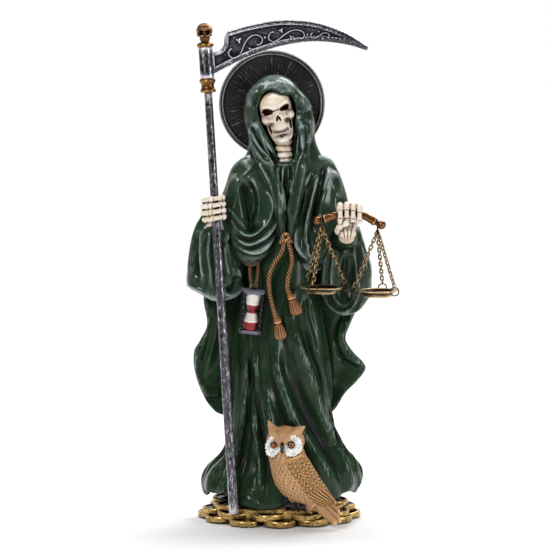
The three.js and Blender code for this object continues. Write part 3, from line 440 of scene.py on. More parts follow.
class Recipe:
    # lays the nodes of one paint out and joins them
    def __init__(self, name):
        self.paint = bpy.data.materials.new(name)
        self.paint.use_nodes = True
        self.tree = self.paint.node_tree
        self.shader = self.tree.nodes["Principled BSDF"]

    def join(self, a, b):
        self.tree.links.new(a, b)

    def attribute(self, name):
        node = self.tree.nodes.new("ShaderNodeAttribute")
        node.attribute_name = name
        return node.outputs["Fac"]

    def noise(self, scale, detail=4, rough=0.55, stretch=None):
        where = self.tree.nodes.new("ShaderNodeTexCoord").outputs["Object"]
        if stretch:
            shape = self.tree.nodes.new("ShaderNodeMapping")
            shape.inputs["Scale"].default_value = stretch
            self.join(where, shape.inputs["Vector"])
            where = shape.outputs["Vector"]
        node = self.tree.nodes.new("ShaderNodeTexNoise")
        node.inputs["Scale"].default_value = scale
        node.inputs["Detail"].default_value = detail
        node.inputs["Roughness"].default_value = rough
        self.join(where, node.inputs["Vector"])
        return node.outputs["Fac"]

    def shelter(self, reach):
        node = self.tree.nodes.new("ShaderNodeAmbientOcclusion")
        node.samples = 6
        node.inputs["Distance"].default_value = reach * mm
        return node.outputs["AO"]

    def sum(self, *terms):
        # each term is (weight, socket) or a plain number
        total = None
        for term in terms:
            if isinstance(term, (int, float)):
                part = term
            else:
                node = self.tree.nodes.new("ShaderNodeMath")
                node.operation = "MULTIPLY"
                node.inputs[0].default_value = term[0]
                self.join(term[1], node.inputs[1])
                part = node.outputs[0]
            if total is None:
                total = part
                continue
            node = self.tree.nodes.new("ShaderNodeMath")
            for socket, value in zip(node.inputs, (total, part)):
                if isinstance(value, (int, float)):
                    socket.default_value = value
                else:
                    self.join(value, socket)
            total = node.outputs[0]
        return total

    def ramp(self, source, stops, ease="LINEAR"):
        node = self.tree.nodes.new("ShaderNodeValToRGB")
        node.color_ramp.interpolation = ease
        bits = node.color_ramp.elements
        while len(bits) < len(stops):
            bits.new(0.5)
        for bit, (where, colour) in zip(bits, stops):
            bit.position = where
            bit.color = (colour, colour, colour, 1) if isinstance(colour, (int, float)) else (*colour, 1)
        self.join(source, node.inputs["Fac"])
        return node.outputs["Color"]

    def blend(self, share, a, b):
        node = self.tree.nodes.new("ShaderNodeMix")
        node.data_type = "RGBA"
        for socket, value in ((node.inputs["Factor"], share), (node.inputs["A"], a), (node.inputs["B"], b)):
            if isinstance(value, (int, float)):
                socket.default_value = value
            elif isinstance(value, tuple):
                socket.default_value = (*value, 1)
            else:
                self.join(value, socket)
        return node.outputs["Result"]

    def grain(self, height, depth):
        node = self.tree.nodes.new("ShaderNodeBump")
        node.inputs["Distance"].default_value = depth * mm
        self.join(height, node.inputs["Height"])
        self.join(node.outputs["Normal"], self.shader.inputs["Normal"])


# what a paint has where its own recipe says nothing: noise scales, the shares of noise in the wash and
# painted shade and in the brush and painted highlight, millimetres of shelter and of grain, and the gloss
plainPaint = {
    "streak": 260, "along": None, "cloud": 55, "mottle": 0.14, "scatter": 0.4, "brushAndHighlightMost": 1.0,
    "shelter": 3, "shelterAt": (0.25, 0.75), "uneven": 0.16, "dull": 0, "metal": 0, "coat": 0,
    "coatRough": 0.15, "specular": 0.5, "grain": 0.04,
}


def handPaint(name, recipe):
    # a base coat; a dark wash in the hollows that is partly painted shade, and painted shade from the
    # ambient occlusion in sheltered places; a pale brush on the ridges that is partly a painted highlight
    p = {**plainPaint, **recipe}
    base, patch, washAndShade, brushAndHighlight = (srgb(*p[coat]) for coat in ("base", "patch", "washAndShade", "brushAndHighlight"))
    r = Recipe(name)
    crisp, deep = r.attribute("crisp"), r.attribute("deep")
    streaks = r.noise(p["streak"], 5, 0.7, p["along"])
    cloud = r.noise(p["cloud"], 3, 0.5)
    body = r.blend(r.ramp(cloud, [(0.35, 0.0), (0.65, 1.0)]), base, patch)
    hollow = r.sum((0.4, crisp), (0.6, deep), (p["mottle"], cloud), -p["mottle"] / 2)
    # wash and painted shade: the hollows turn towards the wash colour
    washedAndShaded = r.ramp(hollow, [(p["washAndShadeAt"][0], 1.0), (p["washAndShadeAt"][1], 0.0)], "EASE")
    # painted shade: places the ambient occlusion finds sheltered turn towards the wash colour
    low, high = p["shelterAt"]
    shade = r.sum((1, r.shelter(p["shelter"])), (0.2, streaks), -0.1)
    paintedShade = r.ramp(shade, [(low, 1.0), (high, 0.0)], "EASE")
    # brush and painted highlight: the ridges turn towards the pale colour
    ridge = r.sum((0.5, crisp), (0.5, deep), (p["scatter"], streaks), -p["scatter"] / 2)
    brushedAndHighlighted = r.ramp(ridge, [(p["brushAndHighlightAt"][0], 0.0), (p["brushAndHighlightAt"][1], p["brushAndHighlightMost"])], "EASE")
    colour = r.blend(brushedAndHighlighted, body, brushAndHighlight)
    colour = r.blend(washedAndShaded, colour, washAndShade)
    colour = r.blend(paintedShade, colour, washAndShade)
    r.join(colour, r.shader.inputs["Base Color"])
    gloss = ((p["uneven"], streaks), (p["dull"], washedAndShaded), (p["dull"], paintedShade), p["rough"] - p["uneven"] / 2)
    r.join(r.sum(*gloss), r.shader.inputs["Roughness"])
    r.shader.inputs["Metallic"].default_value = p["metal"]
    r.shader.inputs["Coat Weight"].default_value = p["coat"]
    r.shader.inputs["Coat Roughness"].default_value = p["coatRough"]
    r.shader.inputs["Specular IOR Level"].default_value = p["specular"]
    r.grain(r.noise(p["streak"] * 1.6, 4, 0.6), p["grain"])
    return r.paint


# each paint's wash colour is both a wash and painted shade, and its brush colour both a dry brush and a
# painted highlight
bottleGreen = {
    "base": (31, 55, 31), "patch": (20, 40, 21), "washAndShade": (8, 17, 9), "brushAndHighlight": (136, 162, 150),
    "washAndShadeAt": (0.27, 0.47), "brushAndHighlightAt": (0.78, 1.2), "brushAndHighlightMost": 0.6, "rough": 0.28, "coat": 0.14,
    "coatRough": 0.12, "specular": 0.2, "dull": 0.3, "shelter": 5, "shelterAt": (0.15, 0.7), "cloud": 90,
    "scatter": 1.5, "along": (1, 1, 0.14), "streak": 1500, "grain": 0.012,
}
# the mantle has a paler base and a stronger pale brush than the gown, partly a painted sheen
mantleGreen = {
    **bottleGreen, "base": (43, 64, 46), "patch": (27, 46, 30), "brushAndHighlight": (168, 183, 180),
    "brushAndHighlightAt": (0.52, 1.02), "brushAndHighlightMost": 0.75, "scatter": 0.8, "coat": 0.25, "rough": 0.24,
}
ivory = {
    "base": (240, 229, 215), "patch": (226, 206, 180), "washAndShade": (66, 37, 17), "brushAndHighlight": (250, 244, 236),
    "washAndShadeAt": (0.1, 0.54), "brushAndHighlightAt": (0.6, 0.95), "rough": 0.34, "shelter": 2.2, "shelterAt": (0.15, 0.85),
    "mottle": 0.2, "cloud": 120, "streak": 900, "grain": 0.02,
}
coinGold = {
    "base": (112, 76, 32), "patch": (70, 47, 20), "washAndShade": (12, 8, 4), "brushAndHighlight": (222, 184, 112),
    "washAndShadeAt": (0.28, 0.5), "brushAndHighlightAt": (0.74, 1.1), "rough": 0.28, "metal": 0.75, "shelter": 3.2,
    "shelterAt": (0.25, 0.95), "mottle": 0.4, "streak": 800, "cloud": 130, "scatter": 0.9,
}
finialGold = {**coinGold, "base": (148, 102, 50), "patch": (104, 70, 34), "brushAndHighlightAt": (0.6, 1.0),
              "shelter": 1.3, "washAndShadeAt": (0.2, 0.44)}
haloBlack = {
    "base": (27, 25, 26), "patch": (18, 17, 18), "washAndShade": (7, 7, 8), "brushAndHighlight": (146, 144, 146),
    "washAndShadeAt": (0.25, 0.46), "brushAndHighlightAt": (0.72, 1.12), "rough": 0.48, "metal": 0.2, "mottle": 0.3,
    "scatter": 1.4, "streak": 1500,
}
gunmetal = {
    "base": (70, 68, 74), "patch": (40, 39, 44), "washAndShade": (11, 10, 13), "brushAndHighlight": (224, 222, 230),
    "washAndShadeAt": (0.28, 0.48), "brushAndHighlightAt": (0.54, 0.9), "rough": 0.36, "metal": 0.5, "scatter": 1.7,
    "mottle": 0.3, "streak": 1500, "cloud": 160,
}
poleSteel = {
    "base": (104, 101, 108), "patch": (50, 48, 55), "washAndShade": (14, 13, 16), "brushAndHighlight": (228, 226, 234),
    "washAndShadeAt": (0.3, 0.5), "brushAndHighlightAt": (0.52, 0.9), "rough": 0.32, "metal": 0.5, "scatter": 2.2, "mottle": 0.8,
    "along": (1, 1, 0.25), "streak": 1500, "cloud": 420,
}
oldCopper = {
    "base": (160, 104, 46), "patch": (100, 62, 28), "washAndShade": (24, 13, 7), "brushAndHighlight": (246, 190, 116),
    "washAndShadeAt": (0.24, 0.44), "brushAndHighlightAt": (0.6, 0.9), "rough": 0.2, "metal": 0.7, "coat": 0.3, "streak": 900,
}
oldBrass = {
    "base": (76, 60, 36), "patch": (48, 38, 25), "washAndShade": (16, 12, 9), "brushAndHighlight": (190, 160, 112),
    "washAndShadeAt": (0.32, 0.5), "brushAndHighlightAt": (0.6, 0.95), "rough": 0.3, "metal": 0.75, "streak": 1200,
}
ropeBrown = {
    "base": (146, 88, 40), "patch": (112, 66, 31), "washAndShade": (20, 11, 5), "brushAndHighlight": (236, 184, 116),
    "washAndShadeAt": (0.3, 0.5), "brushAndHighlightAt": (0.5, 0.82), "rough": 0.42, "shelter": 1.2, "shelterAt": (0.3, 0.9),
    "streak": 1500,
}
robePaint = handPaint("bottleGreen", bottleGreen)
mantlePaint = handPaint("mantleGreen", mantleGreen)
bonePaint = handPaint("ivory", ivory)
goldPaint = handPaint("coinGold", coinGold)
finialPaint = handPaint("finialGold", finialGold)
haloPaint = handPaint("haloBlack", haloBlack)
steelPaint = handPaint("gunmetal", gunmetal)
polePaint = handPaint("poleSteel", poleSteel)
copperPaint = handPaint("oldCopper", oldCopper)
brassPaint = handPaint("oldBrass", oldBrass)
ropePaint = handPaint("ropeBrown", ropeBrown)
print("paints mixed")


# gown: a pleated cone that spreads over the coins
gown = {
    "rows": 280, "columns": 440, "top": 174, "pleats": 11, "hemBehind": (11.5, 1.6),
    "roll": [(0.3, -0.5), (0.9, -0.8), (1.5, -0.4), (1.9, 1.6)],
    "wander": [(5, 0.12), (50, 0.12), (80, 0.07), (175, 0.07)],
    "left": [(5, -34), (12, -36.5), (19, -36.5), (25, -33.5), (31, -27.5), (38, -24), (50, -22), (76, -22.5),
             (98, -20), (118, -16), (139, -8.5), (150, -12), (165, -19), (175, -13)],
    "right": [(5, 35), (12, 36), (19, 39), (25, 38.5), (31, 34), (38, 28.5), (50, 24.7), (76, 24),
              (98, 20.5), (118, 18), (139, 16), (150, 17), (165, 22), (175, 16)],
    "front": [(5, -28), (12, -28), (22, -25.5), (35, -22), (60, -19), (98, -16.5), (139, -13), (165, -12),
              (175, -9)],
    "back": [(5, 27), (12, 27), (22, 24), (35, 20), (60, 16), (98, 13), (139, 10), (165, 9), (175, 7)],
    "depth": [(5, 0.1), (20, 0.13), (50, 0.12), (98, 0.09), (139, 0.05), (175, 0.03)],
    "hem": [(-1, 15.5), (-0.88, 14.5), (-0.72, 15.5), (-0.6, 11.5), (-0.42, 10), (-0.25, 8.8), (-0.12, 9),
            (-0.04, 9.6), (0.05, 11), (0.3, 12), (0.6, 13), (0.78, 12.5), (0.9, 15.5), (1, 14.5)],
    "pleatDepth": [(5, 0.5), (16, 1.3), (30, 2.4), (45, 2.8), (75, 2.2), (100, 1.4), (116, 0)],
    "ridges": [
        [(-19.3, 86), (-19.4, 72), (-20.4, 58), (-22.4, 47), (-26.2, 36), (-32.4, 25), (-36, 12)],
        [(-16, 89), (-15.2, 78), (-15.8, 65), (-16.7, 52), (-18.7, 38), (-21.8, 29), (-26, 20), (-29, 10)],
        [(-12.7, 86), (-12.3, 75), (-11.8, 62), (-10.9, 48), (-10, 36), (-10, 24), (-14, 10)],
        [(-7.6, 86), (-7, 74), (-5.4, 62), (-3.6, 48), (-2, 36), (-1, 24), (0, 10)],
        [(-2.2, 87), (-0.7, 75), (2.2, 64.6), (8.4, 49.4), (14.2, 40.4), (19.3, 31.8), (25, 20), (28, 8)],
        [(5.3, 101), (8.3, 90.7), (11.7, 80.4), (16.2, 68.7), (19.3, 56.3), (23.4, 45.9), (29.6, 35.6),
         (35, 22), (36, 10)],
        [(17.5, 100), (18.6, 88), (20, 76), (21.7, 65), (23.8, 53), (27.9, 42.5), (34, 34), (39, 18)],
    ],
    "folds": [
        (1.7, 1.3, 3.2, [(-12.7, 85.9), (-11.3, 74.9), (-8.4, 62.5), (-5.7, 48), (-3.3, 34.2)]),
        (1.5, 2.2, 1, [(-16, 89.3), (-15.2, 77.7), (-15.8, 65.3), (-16.7, 51.5), (-18.7, 37.6),
                       (-21.8, 29.3), (-26.6, 24.1), (-31.7, 22.1), (-35.3, 16.9)]),
        (0.9, 1.4, 1.4, [(-19.3, 85.9), (-19.4, 72.2), (-20.4, 58.4), (-22.4, 47.3), (-26.2, 36.3),
                         (-32.4, 28.6)]),
        (1.2, 1, 1.1, [(-14.4, 72.2), (-12.5, 52.9), (-10.6, 40.4), (-9.2, 27.3), (-9, 14.1)]),
        (1, 1.6, 1, [(-13.2, 44.6), (-12.5, 34.2), (-14.9, 24.5), (-18.7, 17.2)]),
        (2.4, 4.2, 1.7, [(5.3, 101.7), (8.3, 90.7), (11.7, 80.4), (16.2, 68.7), (19.3, 56.3), (23.4, 45.9),
                         (29.6, 35.6), (38.5, 23.8)]),
        (1.2, 1.4, 1.4, [(19.3, 76.3), (21.7, 65.3), (23.6, 52.9), (27.9, 42.5), (34, 34.2)]),
        (0.8, 1.6, 1.2, [(23.4, 80.4), (24.7, 69.4), (25.8, 55.6)]),
        (1.5, 3.4, 2, [(-2.2, 87.3), (-0.7, 74.9), (2.2, 64.6), (8.4, 49.4), (14.2, 40.4), (19.3, 31.8),
                       (29.3, 18.2)]),
        (-1.0, 2.6, 2.6, [(5.3, 74.9), (9.4, 63.9), (16.9, 49.4), (23.1, 39), (32.7, 25.9)]),
        (-0.7, 1.8, 1.8, [(-14.4, 81.8), (-13.5, 69.4), (-12.5, 58.4), (-11, 47.3)]),
        (-0.7, 2, 2, [(-8.4, 80.4), (-5.3, 65.3), (-1.6, 52.9)]),
        (1, 1.5, 1.5, [(1.2, 112), (3.1, 101), (3.9, 90.7), (5.3, 81.8)]),
        (0.9, 1.6, 1.2, [(12.1, 109.2), (13.1, 99.6), (15.5, 90.7), (17.5, 81.1)]),
        (0.7, 0.8, 0.8, [(-22.1, 24.5), (-19.4, 15.8), (-15.3, 14.1), (-11.5, 8.2)]),
    ],
    "details": [
        (2.2, 1.5, [(-2.2, 172), (-2, 160), (-1.6, 148), (-1.8, 138)]),
        (2, 1.5, [(8.4, 172), (8, 160), (6.6, 150), (5.6, 141)]),
        (1.9, 1.6, [(2, 173.5), (1.1, 164.9), (1.8, 156.2), (1.8, 145.3), (1.2, 138.8)]),
        (1.6, 1.3, [(4.5, 173.5), (4.8, 164.9), (4, 155.1), (3.5, 145.3)]),
        (1.3, 0.8, [(6.1, 173.5), (7, 167), (5.9, 158.4)]), (0.7, -0.6, [(2.6, 173), (2.7, 168), (2.6, 163)]),
        (0.7, -0.6, [(5, 173), (5.3, 169), (4.8, 165)]), (1.0, 1.0, [(3.7, 160), (3.3, 149), (3.4, 141.5)]),
        (0.8, 0.8, [(-16.5, 16.4), (-14, 17), (-11.8, 13.6), (-9.6, 10)]),
    ],
}


def makeGown(g):
    rows, cols = g["rows"], g["columns"]
    angle = np.arange(cols) * turn / cols
    across, deep = np.cos(angle), np.sin(angle)
    front = smooth(-0.1, 0.25, -deep)
    low, swing = g["hemBehind"]
    hem = mix(low + swing * np.sin(5 * angle + 0.6), curve(g["hem"])(across), front)
    v = np.linspace(0, 1, rows)[:, None]
    z = g["top"] + (hem - g["top"]) * v
    left, right = curve(g["left"])(z), curve(g["right"])(z)
    near, far = curve(g["front"])(z), curve(g["back"])(z)
    wander = curve(g["wander"])(z) * np.sin(3 * angle + 1)
    wave = pleat(g["pleats"] * angle / turn + wander) - 0.45
    out = 1 + curve(g["depth"])(z) * wave * (1 - 0.9 * front)
    x = (left + right) / 2 + (right - left) / 2 * out * across
    y = (near + far) / 2 + (far - near) / 2 * out * deep
    form = ringed(np.stack([x, y, z], -1), False)
    depth = curve(g["pleatDepth"])(form[0][:, 2])
    form = raised(form, pleatsBetween(form[0][:, [0, 2]], g["ridges"], depth), reach=(0.1, 0.6))
    form = folded(form, g["folds"])
    form = drawn(form, g["details"])
    grid = form[0].reshape(rows, cols, 3)
    under = rolledHem(grid[-1], np.array([1, 0, 0]), g["roll"])
    form = wobbled(ringed(np.concatenate([grid, under])), 9, 0.1, 3)
    # the rolled-under hem is darkened: painted shade under the hem
    inside = np.arange(len(form[0])) >= (rows + 1) * cols     # past the first turn of the hem
    return form, 0.9 * inside


gownForm, gownHemShade = makeGown(gown)
hemCalm = 0.8 * smooth(24, 12, gownForm[0][:, 2])
sculpt("gown", gownForm, robePaint, fine=(22, 0.75), broad=(130, 3.2), darkening=gownHemShade, calm=hemCalm)
print("gown")


# cloak: hangs behind from the shoulders, its edges flaring in two waves on each side
cloak = {
    "rows": 210, "outer": 240, "inner": 150, "low": 48.6, "top": 177, "edge": 3.2, "front": 4,
    "pleatDepth": [(49, 3.6), (90, 3), (140, 2), (177, 1)],
    "left": [(49, -26), (51, -31.5), (58.6, -37), (71, -41), (81, -41.2), (86, -38.5), (93.5, -35),
             (107, -36.5), (120, -33), (150, -25), (168, -18), (177, -11)],
    "right": [(49, 24), (53, 28), (60, 32.4), (66, 38.4), (72, 42.4), (76, 40.6), (80, 36.6), (86.6, 32.8),
              (94, 35.2), (102, 38.7), (110, 42.5), (120, 39), (150, 30), (168, 21), (177, 14)],
    "half": [(49, 27), (75, 35), (110, 34), (150, 26), (168, 19), (177, 12)],
    "back": [(49, 23), (70, 22), (100, 19), (130, 16.5), (150, 14), (168, 9.5), (177, 6.5)],
    "folds": [
        (1.3, 1.6, 4.5, [(-35.4, 108.5), (-32.7, 99.5), (-34.7, 89), (-37.7, 82.8), (-39.7, 75.1)]),
        (0.7, 1.2, 2, [(-29.9, 103), (-30.5, 90.4), (-32.7, 82.1), (-34.8, 72.3)]),
        (1.2, 6, 0.8, [(-27.2, 59.1), (-31.7, 58.8), (-35.4, 59.5), (-38.9, 64.7)]),
        (0.6, 2, 1, [(-27.6, 72.3), (-31.4, 66.7), (-35.5, 65.3)]),
        (1, 1.2, 2.2, [(-31.5, 112), (-30.4, 100), (-31.6, 88), (-34, 76), (-35.6, 66)]),
        (1.8, 1.2, 5, [(33.7, 99.5), (30.3, 93.2), (29.7, 87.6), (31.6, 80), (36.6, 76.1), (42, 73.3)]),
        (0.8, 3, 2, [(26.1, 88.3), (26.9, 76.5), (26.2, 62.5)]),
        (0.7, 1.5, 3, [(39.9, 107.1), (35.8, 98.1), (33.4, 88.3)]),
    ],
}


def makeCloak(c):
    z = np.linspace(c["low"], c["top"], c["rows"])[:, None]
    left, right, back = curve(c["left"])(z), curve(c["right"])(z), curve(c["back"])(z)
    u = np.linspace(0, 1, c["outer"])
    arc, edge = np.sin(u * math.pi) ** 0.7, np.sin(u * math.pi)
    # only the borders follow the flare, so the folds of the back fall straight
    half = curve(c["half"])(z)
    x = mix(-half, half, u) + (left + half) * smooth(0.3, 0, u) + (right - half) * smooth(0.7, 1, u)
    hang = (u - 0.5) * 44
    wave = pleat(0.14 * hang + 0.16 * np.sin(z * 0.035 + 2) + 0.22 * np.sin(hang * 0.17)) - 0.5
    deep = curve(c["pleatDepth"])(z)
    outerY = c["front"] + c["edge"] / 2 + (back - c["front"]) * arc + deep * wave * edge ** 0.5
    outer = np.stack([x, outerY, z + 0 * u], -1)
    w = 1 - np.linspace(0, 1, c["inner"] + 2)[1:-1]
    innerY = c["front"] - c["edge"] / 2 + 4 * np.sin(w * math.pi)
    inner = np.stack([mix(left, right, w) * 0.995, innerY + 0 * z, z + 0 * w], -1)
    outer[:, :, 2] += 1.6 * np.sin(u * 30) * edge * smooth(70, 49, z)
    form = folded(ringed(np.concatenate([outer, inner], 1)), c["folds"], reach=(0.2, 0.6))
    return wobbled(form, 10, 0.15, 5)


sculpt("cloak", makeCloak(cloak), robePaint, fine=(20, 1.4), broad=(90, 5), keep=0.3)
print("cloak")


# upper sleeves: the left one nests its folds round a slit, the right one falls straighter
leftDrape = {
    "outline": [(-21, 173), (-26, 161), (-30.5, 149), (-27, 135), (-20, 126.5), (-12, 124), (-4, 130),
                (0.6, 144), (1.8, 158), (-2, 171), (-10, 178)],
    "middle": (-13.2, 149), "rim": -7, "back": 6, "round": 9, "columns": 320, "rows": 120,
    "front": [(120, -16.5), (127, -18.5), (140, -18.5), (155, -17), (168, -14.5), (178, -11)],
    "folds": [
        (-4, 2.2, 2.6, [(-16.6, 166), (-16, 160), (-14.8, 152), (-13.6, 145), (-12.8, 138)]),
        (1.5, 0.9, 4.6, [(-15, 167.9), (-11.7, 163.8), (-9.7, 158.1), (-9.9, 151.3), (-11.6, 145.5),
                         (-13.6, 142)]),
        (0.7, 1, 1, [(-24.9, 153), (-21.3, 149.1), (-17.6, 144.8), (-14.8, 141.7)]),
        (0.6, 1, 1, [(-23.6, 147.9), (-20.3, 142.7), (-15.9, 140)]),
        (1.5, 1.6, 0.9, [(-6.7, 162.9), (-4.2, 156.7), (-4.5, 149.9), (-6.7, 144.1), (-10.4, 140.2),
                         (-14.2, 139), (-17.9, 140.2), (-21, 142.7)]),
        (1.9, 1.6, 0.9, [(-3.9, 166.3), (-1.4, 158.8), (-1.5, 150.6), (-3.4, 143.1), (-6.7, 138.1),
                         (-10.8, 135.4), (-14.9, 134.7), (-18.6, 136.6), (-21.3, 139.7)]),
        (1.8, 1.6, 0.9, [(-5.6, 172.4), (-0.5, 163.5), (0.6, 154), (-0.5, 144.4), (-3.1, 137.5),
                         (-7.2, 132.7), (-12.1, 130.9), (-16.9, 132.3), (-20.3, 135.5)]),
        (1.8, 2, 0.9, [(0.7, 149.9), (0.7, 141.7), (-1.1, 134.9), (-3.9, 129.3), (-8, 125.5), (-12.1, 124.2),
                       (-16.2, 125.1), (-19.8, 127.7), (-21.7, 132.8)]),
        (0.8, 2, 2, [(-17.5, 175.1), (-15.5, 172.4), (-12.8, 169.7)]),
        (0.8, 1.5, 1.5, [(-20.3, 169), (-23, 162.9), (-25, 156.7)]),
    ],
}
rightDrape = {
    "outline": [(24, 176), (29.5, 167), (33, 155), (34, 143), (29, 131), (21, 123), (13, 121.5), (7.4, 130),
                (6.4, 144), (8.5, 160), (13, 175)],
    "middle": (19.5, 147), "rim": -7, "back": 6, "round": 9, "columns": 320, "rows": 120,
    "front": [(120, -16), (127, -17.5), (140, -17), (155, -15.5), (168, -13), (178, -10)],
    "folds": [
        (2, 0.9, 2, [(12.4, 171), (9.1, 164.2), (6.8, 155.3), (5.7, 147.1), (5.9, 138.9), (7, 132),
                     (9.7, 125.9), (13.1, 121.6)]),
        (2.5, 1.3, 1.6, [(16.8, 171.7), (13.2, 164.2), (10.8, 156.7), (9.4, 149.1), (9, 141.6), (9.7, 134.8),
                         (12.3, 129.3), (15.7, 125.9)]),
        (2.5, 1.2, 1.9, [(20.7, 169.6), (17, 162.1), (15.3, 155.3), (14.2, 147.8), (13.2, 140.3),
                         (13.7, 133.4), (15.8, 129.3)]),
        (2.3, 1.4, 3.4, [(24.3, 172.3), (22.6, 164.8), (20.9, 157.3), (19.8, 151.2), (18.6, 143)]),
        (0.8, 2, 2, [(27, 170.3), (28.4, 162.8), (27.7, 156)]),
        (1.7, 1.8, 0.9, [(23.4, 127.9), (21, 123.1), (16.9, 120.9), (13.1, 121.6), (9.7, 125.9)]),
        (-1.7, 0.9, 0.9, [(15.1, 166.2), (12.1, 159.4), (10.1, 151.2), (8, 141.6), (8.3, 133.4)]),
        (-1.7, 0.9, 1.1, [(18.9, 166.9), (15.4, 159.4), (12.5, 150.5), (11.4, 141.6), (11.7, 135.5)]),
        (-1.4, 1.2, 1.2, [(22.3, 162.1), (18.9, 156), (16.8, 147.8), (16.5, 138.9)]),
        (1.1, 1, 1, [(14.6, 136.1), (14.3, 130.7), (16.9, 128.5), (18.9, 130.7)]),
    ],
}


def makeDrape(d):
    edge = through(d["outline"], d["columns"], closed=True)
    middle = np.array(d["middle"], float)
    reach = np.linalg.norm(edge - middle, axis=1)
    t = np.concatenate([[0.02], np.linspace(0.05, 1, d["rows"])])[:, None]
    flat = middle + (edge - middle) * t[..., None]
    dome = 1 - (1 - np.clip((1 - t) * reach / d["round"], 0, 1)) ** 2.3
    y = mix(d["rim"], curve(d["front"])(flat[..., 1]), dome)
    front = np.stack([flat[..., 0], y, flat[..., 1]], -1)
    behind = []
    for k in range(1, 26):
        a = k / 25 * math.pi / 2
        ring = middle + (edge - middle) * (1 - 0.3 * (1 - math.cos(a)))
        deep = np.full(len(ring), mix(d["rim"], d["back"], math.sin(a)))
        behind.append(np.stack([ring[:, 0], deep, ring[:, 1]], -1))
    form = ringed(np.concatenate([front, np.stack(behind)]))
    return wobbled(folded(form, d["folds"]), 8, 0.12, 7)


for name, d in (("leftDrape", leftDrape), ("rightDrape", rightDrape)):
    sculpt(name, makeDrape(d), mantlePaint, fine=(22, 0.26), broad=(110, 1.2))
print("drapes of the upper sleeves")


# bell cuffs, the right one open at its mouth
leftBell = {
    "top": 150, "hem": [(-1, 114.5), (-0.55, 112), (0, 108.5), (0.5, 108.5), (1, 112)],
    "left": [(0, -36.5), (0.25, -41), (0.5, -43), (0.8, -44.2), (1, -44.6)],
    "right": [(0, -26), (0.25, -22), (0.5, -19.5), (0.8, -17.5), (1, -17.5)],
    "front": [(0, -19.5), (0.3, -20), (1, -18.5)], "back": [(0, -10), (0.3, -4), (1, 1)],
    "folds": [
        (1.1, 1.4, 2, [(-37.3, 150), (-40.3, 141.9), (-41.7, 132.3), (-43.3, 118.6)]),
        (1.9, 1.4, 2, [(-35.8, 144.6), (-37.2, 136.4), (-37.2, 128.2), (-35.3, 115.9)]),
        (1.5, 1.2, 1.4, [(-32.7, 141.9), (-33.6, 132.3), (-32.4, 120), (-31.9, 113.1)]),
        (1.8, 1.6, 1.1, [(-25.6, 143.2), (-24, 133.7), (-21.3, 125.5), (-19.1, 118.6), (-18.1, 114.5)]),
        (1.4, 1, 1.4, [(-26.9, 136.4), (-25.7, 126.8), (-23.6, 118.6)]),
        (2, 1.8, 0.9, [(-17.7, 116.6), (-19.5, 111.8), (-22.9, 110.1), (-26, 111.1), (-28.5, 115.9)]),
        (-1.9, 1.1, 1.1, [(-20.3, 120), (-21.3, 115.2), (-23.7, 113.5), (-25.8, 114.5)]),
        (-2, 1.4, 1.4, [(-39, 141.9), (-39.5, 130.9), (-39.4, 118.6)]),
        (-1.9, 1.2, 1.2, [(-24.4, 139.1), (-22.5, 129.6), (-20.2, 121.4)]),
        (1.1, 0.9, 0.9, [(-43.5, 114.9), (-38.7, 112.8), (-34.6, 110.7)]),
    ],
}
rightBell = {
    "top": 143, "hem": [(-1, 110), (-0.5, 103.5), (0, 101.5), (0.5, 103.5), (1, 110)],
    "left": [(0, 25), (0.3, 22), (0.6, 20.5), (1, 20)],
    "right": [(0, 38.5), (0.3, 41.5), (0.6, 44.5), (1, 44.5)],
    "front": [(0, -18.5), (0.4, -19), (1, -17.5)], "back": [(0, -6), (0.3, 2), (1, 4)],
    "folds": [
        (1.7, 1.5, 1, [(39.4, 118.5), (37.3, 109.6), (33.7, 104.1), (29.2, 102.4), (24.4, 105.8),
                       (22, 111.7), (22.2, 118.5), (23.3, 129.5), (24.8, 137.7), (26.4, 144.5)]),
        (1.1, 1.1, 1, [(36.3, 115.8), (33.6, 108.6), (29.5, 106.3), (26.2, 111), (25.4, 118.5),
                       (26.4, 128.1), (27.5, 136.3)]),
        (1.2, 1.1, 1.6, [(35.9, 139), (35.7, 130.8), (35.1, 121.9), (33.6, 113)]),
        (0.9, 1.1, 1.1, [(32.2, 134.9), (31.6, 125.4), (30.7, 115.8)]),
        (1.1, 1.6, 1.2, [(38.6, 139.7), (41.2, 129.5), (43.1, 121.3), (44.4, 115.8)]),
        (-1.6, 1.4, 1.4, [(29.4, 134.9), (28.6, 125.4), (28.3, 115.8), (29.5, 111)]),
        (-1.5, 1.3, 1.3, [(37.3, 136.3), (38.5, 126.7), (38.7, 118.5)]),
    ],
    "mouth": ((31.8, -21.5, 118), (6.6, 4.6, 13)),
}
bell = {
    "rows": 130, "columns": 280, "dip": 5.5,
    "roll": [(0.25, -0.5), (0.8, -0.8), (1.4, -0.4), (1.7, 1), (2.3, 6)],
}


